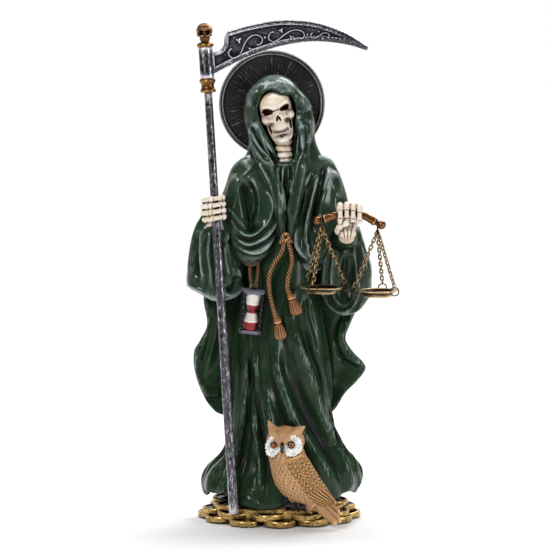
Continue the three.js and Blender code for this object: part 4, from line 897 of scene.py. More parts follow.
def makeBell(b):
    rows, cols = bell["rows"], bell["columns"]
    angle = np.arange(cols) * turn / cols
    across, deep = np.cos(angle), np.sin(angle)
    v = np.linspace(0, 1, rows)[:, None]
    back = smooth(0.1, -0.35, -deep)
    out = 1 + (0.03 + 0.09 * v) * (pleat(6 * angle / turn + 0.1) - 0.6) * back
    x = mix(curve(b["left"])(v), curve(b["right"])(v), 0.5 + 0.5 * across * out)
    y = mix(curve(b["front"])(v), curve(b["back"])(v), 0.5 + 0.5 * deep * out)
    z = mix(b["top"], curve(b["hem"])(across), v) + 0 * x
    form = ringed(np.stack([x, y, z], -1), False)
    form = folded(form, b["folds"])
    if "mouth" in b:
        # the cloth dips in round the dark of the sleeve
        centre, radii = b["mouth"]
        far = np.linalg.norm((form[0] - np.array(centre)) / np.array(radii), axis=1)
        seen = smooth(0.1, 0.5, -normalsOf(form)[:, 1])
        dip = bell["dip"] * (1 - smooth(0.55, 1.25, far)) * seen
        form = (form[0] + np.array([0, 1, 0]) * dip[:, None], form[1], form[2])
    grid = form[0].reshape(rows, cols, 3)
    under = rolledHem(grid[-1], grid[-1].mean(0), bell["roll"])
    return wobbled(ringed(np.concatenate([grid, under])), 7, 0.1, 9)


for name, b in (("leftBell", leftBell), ("rightBell", rightBell)):
    form = makeBell(b)
    low = smooth(110, 103, form[0][:, 2])       # the brush and painted highlight and the wash and painted shade held back at the hem
    sculpt(name, form, mantlePaint, fine=(18, 0.5), broad=(90, 2.2), calm=0.6 * low)
print("bell cuffs")


# hood, and the shawl that it becomes on the shoulders
hood = {
    "rows": 200, "columns": 400, "low": 150, "top": 216.5,
    # the dark inside, ring by ring: share of the opening's size, place from front to back
    "inside": [(1.1, -30), (1.0, -15), (0.99, -9), (0.9, -5.5), (0.6, -4.2), (0.2, -4)],
    "left": [(150, -22), (160, -25), (168, -23), (174, -18), (178, -15), (185, -14.6), (191, -16.4),
             (197, -17.2), (203, -16.4), (208, -14.4), (212, -10.8), (215, -6.5), (216.6, -3)],
    "right": [(150, 26), (160, 29), (168, 27.5), (174, 22.5), (178, 19.4), (185, 17.2), (191, 17.4),
              (197, 16.4), (203, 14.2), (208, 10.6), (212, 6.4), (215, 2.6), (216.6, 0)],
    "front": [(150, -12), (160, -13.5), (168, -14), (178, -14), (188, -14), (200, -15), (206, -16),
              (211, -13.5), (215, -7), (216.6, -3)],
    "back": [(150, 12), (160, 11), (168, 9.5), (178, 8.5), (188, 9.3), (200, 9.5), (206, 9.3), (211, 7.5),
             (215, 3.5), (216.6, 0.5)],
    "opening": [(-9.7, 201.9), (-8.9, 204.3), (-7.3, 206.9), (-5.3, 207.9), (-3.3, 208.2), (-1.3, 207.4),
                (1, 205.9), (3.6, 206.3), (5.8, 205.7), (7.2, 203.5), (8.1, 200.3), (8.3, 196.8),
                (7.9, 193.2), (8, 189.6), (7.5, 185.7), (7.2, 180.5), (7.4, 176.5), (6.2, 174.3), (2.6, 174),
                (0, 174.3), (-1.4, 177.3), (-2.7, 180.9), (-4.5, 184.5), (-6.5, 188.1), (-8.3, 192),
                (-9.7, 195.6), (-10.4, 198.8)],
    "folds": [
        (1.3, 2.8, 2.6, [(-2.7, 211.6), (-0.2, 212.2), (3, 211.6), (5.8, 209.9), (7.8, 207.1)]),
        (-0.8, 1.4, 1.2, [(-5.4, 214), (-4.5, 211.7), (-3.2, 209.6), (-1, 207.6)]),
        (0.7, 1.4, 1, [(-2.5, 208), (-0.2, 206.5), (2.2, 205.9), (5, 206.3)]),
        (1, 0.9, 1.4, [(-4.1, 208.5), (-6.3, 208.3), (-8.1, 206.3), (-9.7, 202.7), (-10.3, 199.6)]),
        (0.9, 1.4, 1.4, [(-9.7, 211.1), (-12.6, 207.5), (-14.4, 203.9), (-12.8, 199.6)]),
        (-1.2, 0.9, 0.9, [(-8.1, 209.9), (-10.3, 207.1), (-11.5, 203.5), (-11.9, 199.6)]),
        (1.2, 2, 2.2, [(9.8, 206.7), (12.1, 202.4), (14.5, 198)]),
        (-1, 1, 1, [(7.8, 205.9), (9.4, 202), (10, 198.4)]),
        (1.2, 1, 1.4, [(9.6, 194.8), (10.1, 190.1), (10.8, 185.3), (11.2, 179)]),
        (-1.2, 0.8, 0.8, [(8.4, 194), (9, 189.3), (9.6, 182.9), (9.7, 176.6)]),
        (1, 1.2, 1.2, [(13.5, 195.2), (15.1, 191.7), (14.5, 186.5), (13.3, 180.9)]),
        (-1, 0.8, 1, [(12.1, 194.8), (12.9, 189.7), (12.8, 184.1), (11.8, 177)]),
        (1.2, 1, 1.6, [(-12.5, 194.4), (-10.5, 190.1), (-7.9, 185.7), (-4.9, 180.9), (-2.7, 177.4)]),
        (1.2, 1.2, 0.9, [(-14.8, 191.7), (-12.9, 187.3), (-9.7, 181.7), (-5.9, 177), (-1.7, 170.2)]),
        (-1.3, 0.8, 0.8, [(-13.4, 192.8), (-11.3, 187.7), (-8.1, 182.9), (-4.1, 177), (-0.9, 171)]),
        (0.9, 1.2, 0.9, [(-16, 193.2), (-14.4, 188.1), (-12.1, 182.5), (-8.5, 176.6), (-4.9, 170.2)]),
        (-1.1, 0.8, 0.8, [(-14.4, 189.7), (-12.5, 184.5), (-9.3, 179.3), (-5.3, 173.4)]),
        (0.9, 0.9, 1.4, [(-1.2, 172.5), (-0.4, 165), (0.6, 157), (1.2, 148)]),
        (1.1, 0.8, 1.3, [(1.9, 173), (1.4, 165), (2, 157), (2.2, 148)]),
        (0.9, 0.8, 1.3, [(4.2, 173), (4.6, 165), (3.9, 157), (3.3, 148)]),
        (0.8, 0.7, 1.2, [(6.7, 172.6), (6.5, 166), (5.7, 158)]),
        (-0.5, 0.9, 0.9, [(0.3, 173.6), (0.4, 169), (0.7, 164)]),
        (-0.5, 0.9, 0.9, [(3.2, 173.6), (3.1, 168), (3, 162)]),
        (-0.5, 0.9, 0.9, [(5.7, 173.6), (5.6, 169), (5.4, 164)]),
    ],
}
bandFolds = [
    (1.3, 0.9, 1.5, [(-8.5, 178.4), (-4.2, 171.4), (-1.3, 162.7), (0.2, 154), (0.9, 145.3)]),
    (1.3, 1.0, 1.4, [(-11, 176.8), (-6.7, 169.7), (-3.6, 162.7), (-1.7, 155.1), (-0.6, 147.5)]),
    (1.2, 1.0, 1.4, [(-13.4, 174.6), (-9, 168.1), (-5.6, 160.5), (-3.6, 152.9), (-3.2, 145.3)]),
    (1.3, 1.0, 1.5, [(10, 178), (8.6, 170), (6.8, 161), (5.4, 152), (4.8, 143)]),
    (1.3, 1.0, 1.5, [(12.6, 177), (11.2, 169), (9.4, 160), (8, 151), (6.4, 142)]),
]
shawlBands = [
    {"path": [(-12, -11, 190), (-10.6, -13, 184), (-7.4, -14.6, 175), (-2.6, -16, 163), (0.4, -16.6, 150),
              (1.9, -15.2, 137)],
     "radii": [2.2, 3, 3.6, 3.2, 2.4, 1.3], "turns": 5},
    {"path": [(11.6, -11, 190), (11.6, -13, 184), (10.9, -14.6, 175), (8.8, -15.8, 162), (6.8, -16.2, 149),
              (5, -15, 137)],
     "radii": [2, 2.8, 3.2, 3, 2.4, 1.3], "turns": 5},
]


def makeHood(h):
    z = np.linspace(h["low"], h["top"], h["rows"])[:, None]
    angle = np.arange(h["columns"]) * turn / h["columns"]
    across, deep = np.cos(angle), np.sin(angle)
    front = smooth(-0.1, 0.3, -deep)
    out = 1 + np.where(z < 204, 0.05, 0.02) * (pleat(6 * angle / turn + z * 0.012) - 0.5) * (1 - front)
    x = mix(curve(h["left"])(z), curve(h["right"])(z), 0.5 + 0.5 * across * out)
    y = mix(curve(h["front"])(z), curve(h["back"])(z), 0.5 + 0.5 * deep * out)
    form = ringed(np.stack([x, y, z + 0 * x], -1))
    form = folded(form, h["folds"], facing=(0, -0.8, 0.6), reach=(0, 0.45))
    form = eased(form, 50, smooth(201, 208, form[0][:, 2]))
    rim = through(h["opening"], 100, closed=True)
    middle = rim.mean(0)
    rings = []
    for grow, depth in h["inside"]:
        ring = middle + (rim - middle) * grow
        rings.append(np.stack([ring[:, 0], np.full(len(ring), float(depth)), ring[:, 1]], -1))
    form = cut(wobbled(form, 7, 0.1, 13), ringed(np.stack(rings)))
    return form, smooth(1.5, 0.7, gapTo(form[0][:, [0, 2]], rim, closed=True)[0])


hoodForm, hoodRim = makeHood(hood)
sculpt("hood", hoodForm, mantlePaint, fine=(22, 0.4), broad=(110, 1.5), calm=hoodRim)
for side, band in zip(("left", "right"), shawlBands):
    grooves = lambda s, a: 1 + 0.04 * np.cos(band["turns"] * a + 1.2 + 2 * s)
    form = tube(band["path"], band["radii"], 110, 0.8, count=200, ribs=grooves)
    form = wobbled(folded(form, hood["folds"] + bandFolds), 6, 0.15, 17)
    sculpt(side + "ShawlBand", form, mantlePaint, fine=(16, 0.3), broad=(70, 1.0))
print("hood and shawl")


# the arms inside the sleeves: path and radii
forearms = {
    "leftForearm": ([(-14, -6, 138), (-25, -11, 142), (-33, -14, 146)], [6, 6.5, 4.6]),
    "rightForearm": ([(24, -4, 136), (29, -12, 136.5), (32, -20.5, 138)], [8, 7, 5]),
}
# the forearms inside the sleeves are darkened: painted shade
for name, (path, radii) in forearms.items():
    sculpt(name, wobbled(tube(path, radii, 60, count=60), 5, 0.3, 19), robePaint, darkening=0.3)


# skull: a smooth mask with its features pressed in and raised, rolled into the hood
skull = {
    "place": (-0.9, -7.2, 196.4), "tilt": (0.08, -0.235, 0.06), "rows": 250, "columns": 320,
    "low": -13.4, "tall": 26.4, "frontShare": 0.72,
    "half": [(-13.4, 1.4), (-13.1, 3.2), (-12, 4.7), (-10, 5.6), (-7.5, 6.1), (-4.8, 6.4), (-3, 7.5),
             (-1, 8.2), (1.5, 8), (4, 8.3), (7, 8.1), (10, 6.5), (12, 4.1), (13, 0.8)],
    "front": [(-13.4, -8.6), (-12, -10.2), (-9.6, -9.9), (-7, -10.6), (-4, -10.2), (0, -9.3), (3, -9.3),
              (5, -10.2), (8, -9.6), (10.5, -7.2), (12.4, -3.4), (13, -0.5)],
    "back": [(-13.4, -4), (-11, 0), (-6, 3), (0, 8), (5, 9.6), (9, 8.6), (12, 4.5), (13, 0.6)],
    # pressed ovals: depth, middle, radii, tilt and softness of the edge, nought for a bowl; a depth below
    # nought swells
    "ovals": [
        (1.6, (-4.5, 1.9), (3.2, 2.2), -0.1, 0.6), (1.6, (4.3, 2.2), (3.2, 2.2), 0.1, 0.6),
        (2.2, (-4.1, -3.6), (1.4, 1.1), 0.5, 0.7), (2.4, (4.1, -3.1), (1.5, 1.2), -0.6, 0.7),
        (2.0, (-8.4, 5.4), (1.6, 2.6), 0, 0.7), (2.0, (8.4, 5.4), (1.6, 2.6), 0, 0.7),
        (1.6, (-6.6, -4.2), (1.2, 1.1), 0, 0.6), (1.6, (7, -3.8), (1.2, 1.1), 0, 0.6),
        (-2.6, (-6.6, -0.9), (1.7, 1.4), 0.4, 0.6), (-2.8, (6.7, -0.8), (1.8, 1.5), -0.4, 0.6),
        (-1.5, (0, -5.6), (2.9, 2.2), 0, 0.7), (-2, (-0.6, -11.4), (3.2, 1.3), 0, 0.7),
        (-0.6, (0.2, 8.2), (4, 2.6), 0, 0.9), (0.45, (-0.4, -9.2), (2.6, 0.7), 0, 0.6),
    ],
    "hollows": [
        (3.4, (-4.4, 2.8), (2.75, 1.5), -0.26, 0), (3.4, (3.9, 3.2), (2.65, 1.4), 0.22, 0),
        (1.8, (-4.9, 1.9), (1.7, 1), 0.1, 0), (1.8, (4.4, 2.4), (1.7, 0.9), -0.1, 0),
        (2.4, (-0.8, -1.1), (0.6, 1.35), -0.3, 0), (2.4, (0.5, -1.1), (0.55, 1.3), 0.3, 0),
        (1.8, (-0.15, 0.1), (0.5, 0.5), 0, 0),
        (2.4, (-4.9, -5.7), (0.62, 2.3), 0.12, 0), (2.6, (5.1, -5.1), (0.66, 2.6), -0.12, 0),
    ],
    "strokes": [
        (0.75, 1.1, [(-7.6, 4.9), (-5.2, 5.5), (-2.9, 4.7), (-1.1, 3.3)]),
        (0.75, 1.1, [(7.3, 5), (4.9, 5.6), (2.7, 4.9), (0.8, 3.6)]),
        (0.36, -0.9, [(-7.1, 4.3), (-4.9, 4.5), (-2.7, 3.6), (-1.2, 2.4)]),
        (0.36, -0.9, [(6.9, 4.4), (4.6, 4.6), (2.5, 3.9), (0.9, 2.8)]),
        (0.26, -0.6, [(-1.5, 2.7), (-0.8, 2.8), (-0.3, 3.4)]), (0.26, -0.6, [(1.1, 3), (0.5, 3.1), (0, 3.6)]),
        (0.55, 0.9, [(-0.2, 3), (-0.2, 1.6), (-0.2, 0.4)]),
        (0.5, 0.6, [(-1.6, 1), (-1.9, -0.8), (-1.6, -2.6)]),
        (0.5, 0.6, [(1.2, 1), (1.6, -0.8), (1.3, -2.6)]),
        (0.65, 1.3, [(-6.2, -3.4), (-6.1, -7), (-5.3, -10), (-3.6, -12)]),
        (0.65, 1.3, [(6.4, -3.2), (6.3, -6.4), (5.3, -9.6), (3.2, -12)]),
        (0.3, -0.9, [(-4.3, -6.6), (-2.3, -7.15), (-0.3, -7.3), (1.9, -7.1), (4.3, -6.5)]),
        (0.35, -0.7, [(-0.5, -8.9), (-0.9, -10.4)]), (0.25, -0.7, [(4.6, 0), (4.7, -0.3)]),
    ],
    "tooth": {"from": -3.9, "to": 3.9, "pitch": 0.87, "line": -7.3, "upper": 1.35, "lower": 1.25},
}


def pressed(x, z, ovals):
    total = np.zeros(len(x))
    for depth, (cx, cz), (rx, rz), tilt, soft in ovals:
        c, s = math.cos(tilt), math.sin(tilt)
        u, w = (x - cx) * c + (z - cz) * s, (z - cz) * c - (x - cx) * s
        out = np.sqrt((u / rx) ** 2 + (w / rz) ** 2)
        total += depth * (smooth(1 + soft, 1 - soft, out) if soft else np.clip(1 - out ** 2, 0, 1) ** 0.8)
    return total


def makeSkull(s):
    z = s["low"] + s["tall"] * np.linspace(0, 1, s["rows"])[:, None]
    front = int(s["columns"] * s["frontShare"])
    angle = np.concatenate([np.linspace(math.pi, turn, front, endpoint=False),
                            np.linspace(0, math.pi, s["columns"] - front, endpoint=False)])
    across, deep = np.cos(angle), np.sin(angle)
    x = curve(s["half"])(z) * np.sign(across) * np.abs(across) ** 0.92
    y = np.where(deep < 0, curve(s["front"])(z) * np.abs(deep) ** 0.85, curve(s["back"])(z) * np.abs(deep))
    form = ringed(np.stack([x, y, z + 0 * x], -1))
    p = form[0]
    shown = smooth(0.5, -2.5, p[:, 1])
    hollow = pressed(p[:, 0], p[:, 2], s["hollows"])
    lines, t = list(s["strokes"]), s["tooth"]
    for tx in np.arange(t["from"], t["to"], t["pitch"]):
        bow = 0.035 * tx * tx + t["line"]
        lines.append((0.18, -0.6, [(tx, bow + t["upper"]), (tx, bow + 0.5), (tx, bow)]))
        lines.append((0.18, -0.5, [(tx + 0.2, bow), (tx + 0.2, bow - 0.6), (tx + 0.15, bow - t["lower"])]))
    carved = strokes(p[:, [0, 2]], lines)
    dip = pressed(p[:, 0], p[:, 2], s["ovals"]) + hollow - carved
    verts = p + np.stack([0 * dip, dip * shown, 0 * dip], 1)
    # the sockets, nose, cheek slots and carved lines darken: a wash, and painted shade in them
    darkening = 0.9 * smooth(0.1, 1.9, hollow) + 0.75 * smooth(0.08, 0.5, -carved)
    form = wobbled((verts, form[1], form[2]), 5, 0.08, 23)
    return moved(form, s["place"], s["tilt"]), np.clip(darkening * shown, 0, 1)


skullForm, skullWashAndShade = makeSkull(skull)
sculpt("skull", skullForm, bonePaint, fine=(6, 0.12), broad=(220, 0.8), darkening=skullWashAndShade, keep=0.6)
print("skull")


# neck: a stack of vertebrae
neck = {
    "place": (2.7, -8.6, 172.5), "lean": -0.06, "pitch": 3.1, "count": 4,
    "bone": [(3.5, 0.1), (4.2, 0.55), (4.45, 1.1), (4.3, 1.9), (3.9, 2.5), (3.35, 2.95)],
}


def makeNeck(n):
    pairs = [(3.2, 0)]
    for i in range(n["count"]):
        z = i * n["pitch"]
        pairs += [(r, z + up) for r, up in n["bone"]]
    tall = through(pairs, 120)
    spine = lambda s, a: 1 + 0.05 * np.cos(3 * a + 0.5) + 0.03 * np.cos(7 * a + 9 * s)
    return wobbled(lathe(tall, 80, n["place"], (0, n["lean"], 0), ribs=spine), 3, 0.16, 29)


sculpt("neck", makeNeck(neck), bonePaint, fine=(4, 0.14), broad=(30, 0.7))


# hands: thin shafts that swell at the joints, fused with the bones of the palm
scythePlace = {"x": -21.6, "y": -25.5, "lean": -0.0592, "tip": -0.022, "foot": 6.15}
scytheTilt = (scythePlace["tip"], scythePlace["lean"], 0)
scytheFoot = (scythePlace["x"], scythePlace["y"], scythePlace["foot"])


def poleAxisAt(z):
    up = spun(scytheTilt) @ np.array([0, 0, 1.0])
    return np.array(scytheFoot) + up * (z - scythePlace["foot"]) / up[2]


def finger(points, thick, joints=None, sides=18, swell=(1.16, 0.8)):
    # thin shafts that swell at the joints, with a crease in the middle of each joint
    p = np.array(points, float)
    at = np.concatenate([[0], np.cumsum(np.linalg.norm(np.diff(p, axis=0), axis=1))])
    at = at[list(joints or range(len(at)))]
    pairs = []
    for i in range(len(at)):
        pairs.append((at[i], swell[0]))
        if i + 1 < len(at):
            pairs.append(((at[i] + at[i + 1]) / 2, swell[1]))
    along = np.linspace(0, at[-1], 70)
    r = curve(pairs)(along)
    for place in at[1:-1]:
        r = r - 0.26 * np.exp(-((along - place) / 0.34) ** 2)
    return tube(through(p, 70), r * thick / 2, sides)


poleHand = {
    "thick": 2.7, "pitch": 3.05, "middle": 152.2, "reach": 3.8, "wrist": (-32.6, -13, 143.5), "grain": 0.28,
    "bends": [(150, 1.6), (186, 1.55), (232, 1.12), (282, 1.02), (330, 1.14)],
    "thumb": [(-32.6, -13, 143.5), (-34, -18, 143.8), (-32.4, -21, 145), (-30.4, -21.8, 145.6)],
    "creases": [-31.3, -26.9],
}
beamHand = {
    "thick": 2.6, "pitch": 3.05, "first": 28.8, "reach": 3.5, "wrist": (32.2, -25.5, 138.6), "grain": 0.28,
    "bends": [(28, 1.42), (68, 1.28), (118, 1.14), (172, 1.04), (222, 1.3)],
    "thumb": [(30, -26, 139.6), (27.8, -30, 142.2), (28.6, -33.4, 144.6), (31.6, -35, 146.2)],
    "palm": (32.4, -29.8, 141.2), "forearm": [(31.4, -14, 136.6), (31.8, -20, 137.4)],
    "creases": [152.1, 148.2],
    "palmLines": [[(30.2, 143.6), (30.6, 141), (31, 138.6)], [(32.2, 144), (32.4, 141), (32.2, 138)],
                  [(34.2, 144), (34, 141), (33.4, 138.4)]],
}
beamPath = [(18.3, 147.1), (20.6, 147.7), (22.2, 148.2), (27.4, 149.9), (33, 151), (39.2, 149.9),
            (43.6, 147.7), (45.2, 146.6), (46.9, 145.6), (48.4, 145.2)]
beamDepth = -30.5


def creased(form, lines):
    # carved creases, and the darkening that lies in them: a wash and painted shade
    carved = strokes(form[0][:, [0, 2]], lines)
    seen = smooth(0.1, 0.6, -normalsOf(form)[:, 1])
    return raised(form, carved), np.clip(-1.7 * carved, 0, 0.8) * seen


def makePoleHand(h):
    forms, knuckles = [], []
    for i in range(4):
        z = h["middle"] + (1.5 - i) * h["pitch"]
        points = []
        for k, (degrees, far) in enumerate(h["bends"]):
            a = math.radians(degrees)
            reach = h["reach"] * (far + (-0.1, 0.06, 0.06, -0.08)[i] if k < 3 else far)
            points.append(poleAxisAt(z + k * 0.5 - 1) + reach * np.array([math.cos(a), math.sin(a), 0]))
        knuckles.append(points[0])
        forms.append(finger(points, h["thick"], (0, 2, 4)))
    wrist = np.array(h["wrist"])
    for i, k in enumerate(knuckles):
        root = wrist + np.array([0.3, 0.2, (1.5 - i) * 1.0])
        forms.append(finger([root, mix(root, k, 0.55) + np.array([-0.5, 0.2, 0]), k], 2.7))
    forms.append(egg(wrist + np.array([0.2, 0.4, 0]), (2.6, 3.2, 2.8)))
    forms.append(finger(h["thumb"], 2.5))
    creases = []
    for i in range(4):
        z = h["middle"] + (1.5 - i) * h["pitch"] - 0.3
        shift = (0.5, 0, -0.2, 0.4)[i]
        for x in h["creases"]:
            creases.append((0.22, -0.4, [(x + shift, z + 1.2), (x - 0.3 + shift, z), (x + shift, z - 1.2)]))
    return creased(wobbled(cast(forms, h["grain"], 1), 3, 0.1, 31), creases)


def makeBeamHand(h):
    forms, knuckles = [], []
    for i in range(4):
        x = h["first"] + i * h["pitch"]
        z = curve(beamPath)(x)
        points = []
        for k, (degrees, far) in enumerate(h["bends"]):
            a = math.radians(degrees)
            away = h["reach"] * (far + (0.1, 0.02, 0, -0.04)[i])
            lean = 0.25 * (k - 2) * (1.5 - i) * 0.25
            points.append(np.array([x + lean, beamDepth + away * math.cos(a), z + away * math.sin(a)]))
        knuckles.append(points[0])
        forms.append(finger(points, h["thick"], (0, 2, 4)))
    wrist = np.array(h["wrist"])
    for i, k in enumerate(knuckles):
        root = wrist + np.array([(i - 1.5) * 1.1, 0, 0])
        forms.append(finger([root, mix(root, k, 0.5) + np.array([0, 0.6, 0]), k], 2.7))
    forms.append(egg(h["palm"], (4.2, 2.7, 3.1)))
    forms.append(egg(wrist, (3.6, 3.2, 3)))
    forms.append(tube([*h["forearm"], h["wrist"]], [3.1, 2.7, 2.8], 24, count=24))
    forms.append(finger(h["thumb"], 2.8))
    creases = []
    for i in range(4):
        x = h["first"] + i * h["pitch"]
        shift = (0.2, 0.3, -0.1, -0.9)[i]
        for z in h["creases"]:
            creases.append((0.22, -0.4, [(x - 1.2, z + shift), (x, z + 0.3 + shift), (x + 1.2, z + shift)]))
    creases += [(0.3, -0.35, line) for line in h["palmLines"]]
    return creased(wobbled(cast(forms, h["grain"], 1), 3, 0.1, 37), creases)


for name, (form, darkening) in (("poleHand", makePoleHand(poleHand)), ("beamHand", makeBeamHand(beamHand))):
    sculpt(name, form, bonePaint, fine=(3, 0.1), broad=(30, 0.5), darkening=darkening)
print("neck and hands")


# halo: a plate of rays with a raised rim
halo = {
    "place": (-3.4, 9, 201), "radius": 25.75, "half": 1.2, "rim": 2.1, "rows": 130, "columns": 420,
    "flecks": 230, "fleckFrom": (9, 21), "fleckLong": (0.8, 4.5), "fleckHigh": (0.06, 0.2), "rays": 72,
}


def makeHalo(h):
    dice = np.random.default_rng(41)
    r0, half, rim = h["radius"], h["half"], h["rim"]
    a = np.arange(h["columns"]) * turn / h["columns"]
    r = np.concatenate([[0.4], np.linspace(1.2, r0 - 0.2, h["rows"])])[:, None]
    front = 0.5 * half + 0 * r * a
    onRim = smooth(r0 - rim - 0.5, r0 - rim + 0.1, r)
    front = front + (half + 0.45 - 0.5 * half) * onRim
    front -= 0.35 * np.exp(-((r - (r0 - rim / 2 - 0.1)) / 0.25) ** 2)
    for _ in range(h["flecks"]):
        at, start = dice.uniform(0, turn), dice.uniform(*h["fleckFrom"])
        length, high = dice.uniform(*h["fleckLong"]), dice.uniform(*h["fleckHigh"]) * dice.choice([1, 1, -1])
        gap, end = (a - at + math.pi) % turn - math.pi, start + length
        fleck = high * np.exp(-((gap * r) / 0.16) ** 2)
        front += fleck * smooth(start, start + 0.7, r) * smooth(end + 0.7, end, r)
    rays = 0.04 * np.cos(h["rays"] * a) * smooth(8, 13, r) * smooth(r0 - rim - 0.3, r0 - rim - 1.2, r)
    front = front + rays
    wave = 0.05 * np.sin(11 * a + 3) * smooth(r0 - 3, r0, r)
    grids = [np.stack([r * np.cos(a), r * np.sin(a), front + wave], -1)]
    behind = [(0, 0.8), (0, 0.3), (0, -0.4), (-0.3, -0.9), (-1, -1), (-2.2, -0.8)]
    behind += [(out, -0.6) for out in np.linspace(-3.2, -25.3, 60)]
    for out, up in behind:
        rr = r0 + out
        ring = 0.03 * math.cos(out * 1.6) if out < -3 else 0
        grids.append(np.stack([rr * np.cos(a), rr * np.sin(a), np.full(len(a), half * up + ring)], -1)[None])
    return moved(wobbled(ringed(np.concatenate(grids)), 6, 0.08, 43), h["place"], (math.pi / 2, 0, 0))


sculpt("halo", makeHalo(halo), haloPaint, fine=(4, 0.05), broad=(30, 0.2), keep=0.3)
print("halo")


# scythe, in its own frame: up Z from the foot of the pole
scythe = {
    "poleTop": 202.5, "poleRadius": 2.1, "taper": (1.04, 0.88), "socketRadius": 3.3, "socketLow": 5.6,
    "socketStraight": 14.4, "socketLong": 15, "crownUp": 21.4, "headUp": 27.2, "grain": 0.22,
    # the turned collars under and over the socket: (radius, height)
    "foot": [(2.2, 0), (3.3, 0.1), (3.8, 0.9), (3.35, 1.8), (3.05, 2.6), (3.1, 4), (3.55, 4.7), (3.85, 5.6),
             (3.5, 6.5), (2.8, 7)],
    "crown": [(2.6, 0), (3.6, 0.1), (3.95, 0.8), (3.9, 1.6), (3.3, 2.1), (2.7, 2.5)],
}


def inScytheFrame(form):
    return moved(form, scytheFoot, scytheTilt)


def makePole(s):
    z = np.linspace(0, s["poleTop"], 260)
    r = s["poleRadius"] * mix(*s["taper"], z / s["poleTop"])

    def worn(t, a):
        return 1 + 0.025 * np.cos(2 * a + 0.6 * np.sin(5 * t)) + 0.01 * np.cos(5 * a + 3 * np.sin(7 * t))
    return inScytheFrame(lathe(np.column_stack([r, z]), 36, ribs=worn))


def makeSocket(s):
    low = s["poleTop"] + s["socketLow"]
    r = s["socketRadius"]
    pairs = [(r - 0.2, low), (r, low + 0.5)]
    pairs += [(r, z) for z in np.linspace(low + 1, low + s["socketStraight"], 40)]
    pairs.append((r - 0.2, low + s["socketLong"]))
    grooved = lambda t, a: 1 + 0.02 * np.cos(7 * a + 2 * t) + 0.015 * np.cos(3 * a + 9 * t)
    return inScytheFrame(lathe(pairs, 72, ribs=grooved))


def makeCollars(s):
    low = s["poleTop"] - 1
    foot = through([(r, low + up) for r, up in s["foot"]], 60)
    top = low + s["crownUp"]
    crown = through([(r, top + up) for r, up in s["crown"]], 40)
    # the finial is a small skull: cranium, jaw, brow and cheekbones, then sockets, nose and teeth cut in
    head = s["poleTop"] + s["headUp"]
    brow = [(-3, -2.4, head + 1.4), (0, -4.1, head + 1.5), (3, -2.4, head + 1.4)]
    cheeks = [(-3, -1.8, head - 1), (-1.5, -3.6, head - 1.4), (1.5, -3.6, head - 1.4), (3, -1.8, head - 1)]
    eggs = [egg((0, 0, head + 1), (3.9, 4, 3.7), rows=26, segments=36),
            egg((0, -1.2, head - 2.6), (2.5, 2.7, 2.4)),
            tube(brow, 0.8, 14, count=20), tube(cheeks, 0.7, 14, count=24)]
    holes = [egg((x, -4, head + 0.1), (1.25, 1.9, 1.15)) for x in (-1.65, 1.65)]
    holes.append(egg((0, -4.2, head - 1.7), (0.5, 1, 0.8)))
    teeth = (-1.2, -0.4, 0.4, 1.2)
    holes += [egg((x, -3.9, head - 3.6), (0.16, 1, 0.7), rows=10, segments=12) for x in teeth]
    finial = cut(cast(eggs, s["grain"], 1), together(holes))
    return inScytheFrame(together([lathe(foot, 56), lathe(crown, 56), finial]))


bladeFace = {
    "half": 1.3, "edgeHalf": 0.45, "columns": 520, "notchColumns": 89, "notchShare": 0.115, "rows": 92,
    "spineBand": 2.5, "cutBand": 2.5, "borderBand": 1.7,
    "lower": [(2, 209.5), (11, 213.4), (20, 217), (30, 220), (40, 221.9), (50, 222.6), (60, 221.6),
              (68, 219.8), (76.4, 216.8)],
    "upper": [(2, 220.8), (6.3, 221), (8.7, 223.4), (9.6, 228), (11.2, 230.3), (20, 232.2), (32, 233.8),
              (46, 233.4), (58, 230.2), (68, 225.2), (77, 218.6)],
    "scrolls": [
        [(13.1, 221.9), (11.4, 220.9), (10.8, 219.1), (11.8, 217.6), (13.8, 217.1), (16.1, 218.3),
         (17.6, 221.2), (19.4, 224.5), (21.9, 226.7), (24.6, 227.3), (26.9, 225.9), (27, 224), (25.7, 222.6),
         (24.1, 222.8)],
        [(33.1, 228.2), (31.5, 228), (30.2, 226.4), (30.5, 224.6), (32.4, 223.7), (34.8, 224.5),
         (37.9, 226.7), (41.2, 228.3), (44.2, 228.5), (46.5, 227.4), (47, 225.6), (45.6, 224.4), (44, 225)],
        [(51.5, 226.8), (50.2, 226.2), (50.2, 224.7), (51.9, 224.2), (54.1, 225.2), (56.5, 226.4),
         (58.5, 225.8), (58.6, 224.3), (57.4, 223.7)],
    ],
    "dots": [(28.4, 225.9, 0.45), (48.5, 226.1, 0.42), (53.9, 227.1, 0.35), (55.2, 224.1, 0.35),
             (60.2, 224, 0.4), (61.9, 223.6, 0.35), (63.7, 223.2, 0.3)],
    "leaves": [(16.1, 225.3, 1.5, 0.7), (21.4, 220.6, 1.3, 0.3), (36.2, 228.6, 1.2, 3.1),
               (40.9, 225.1, 1.3, 0.2), (55.5, 223.7, 0.8, 0.1)],
}


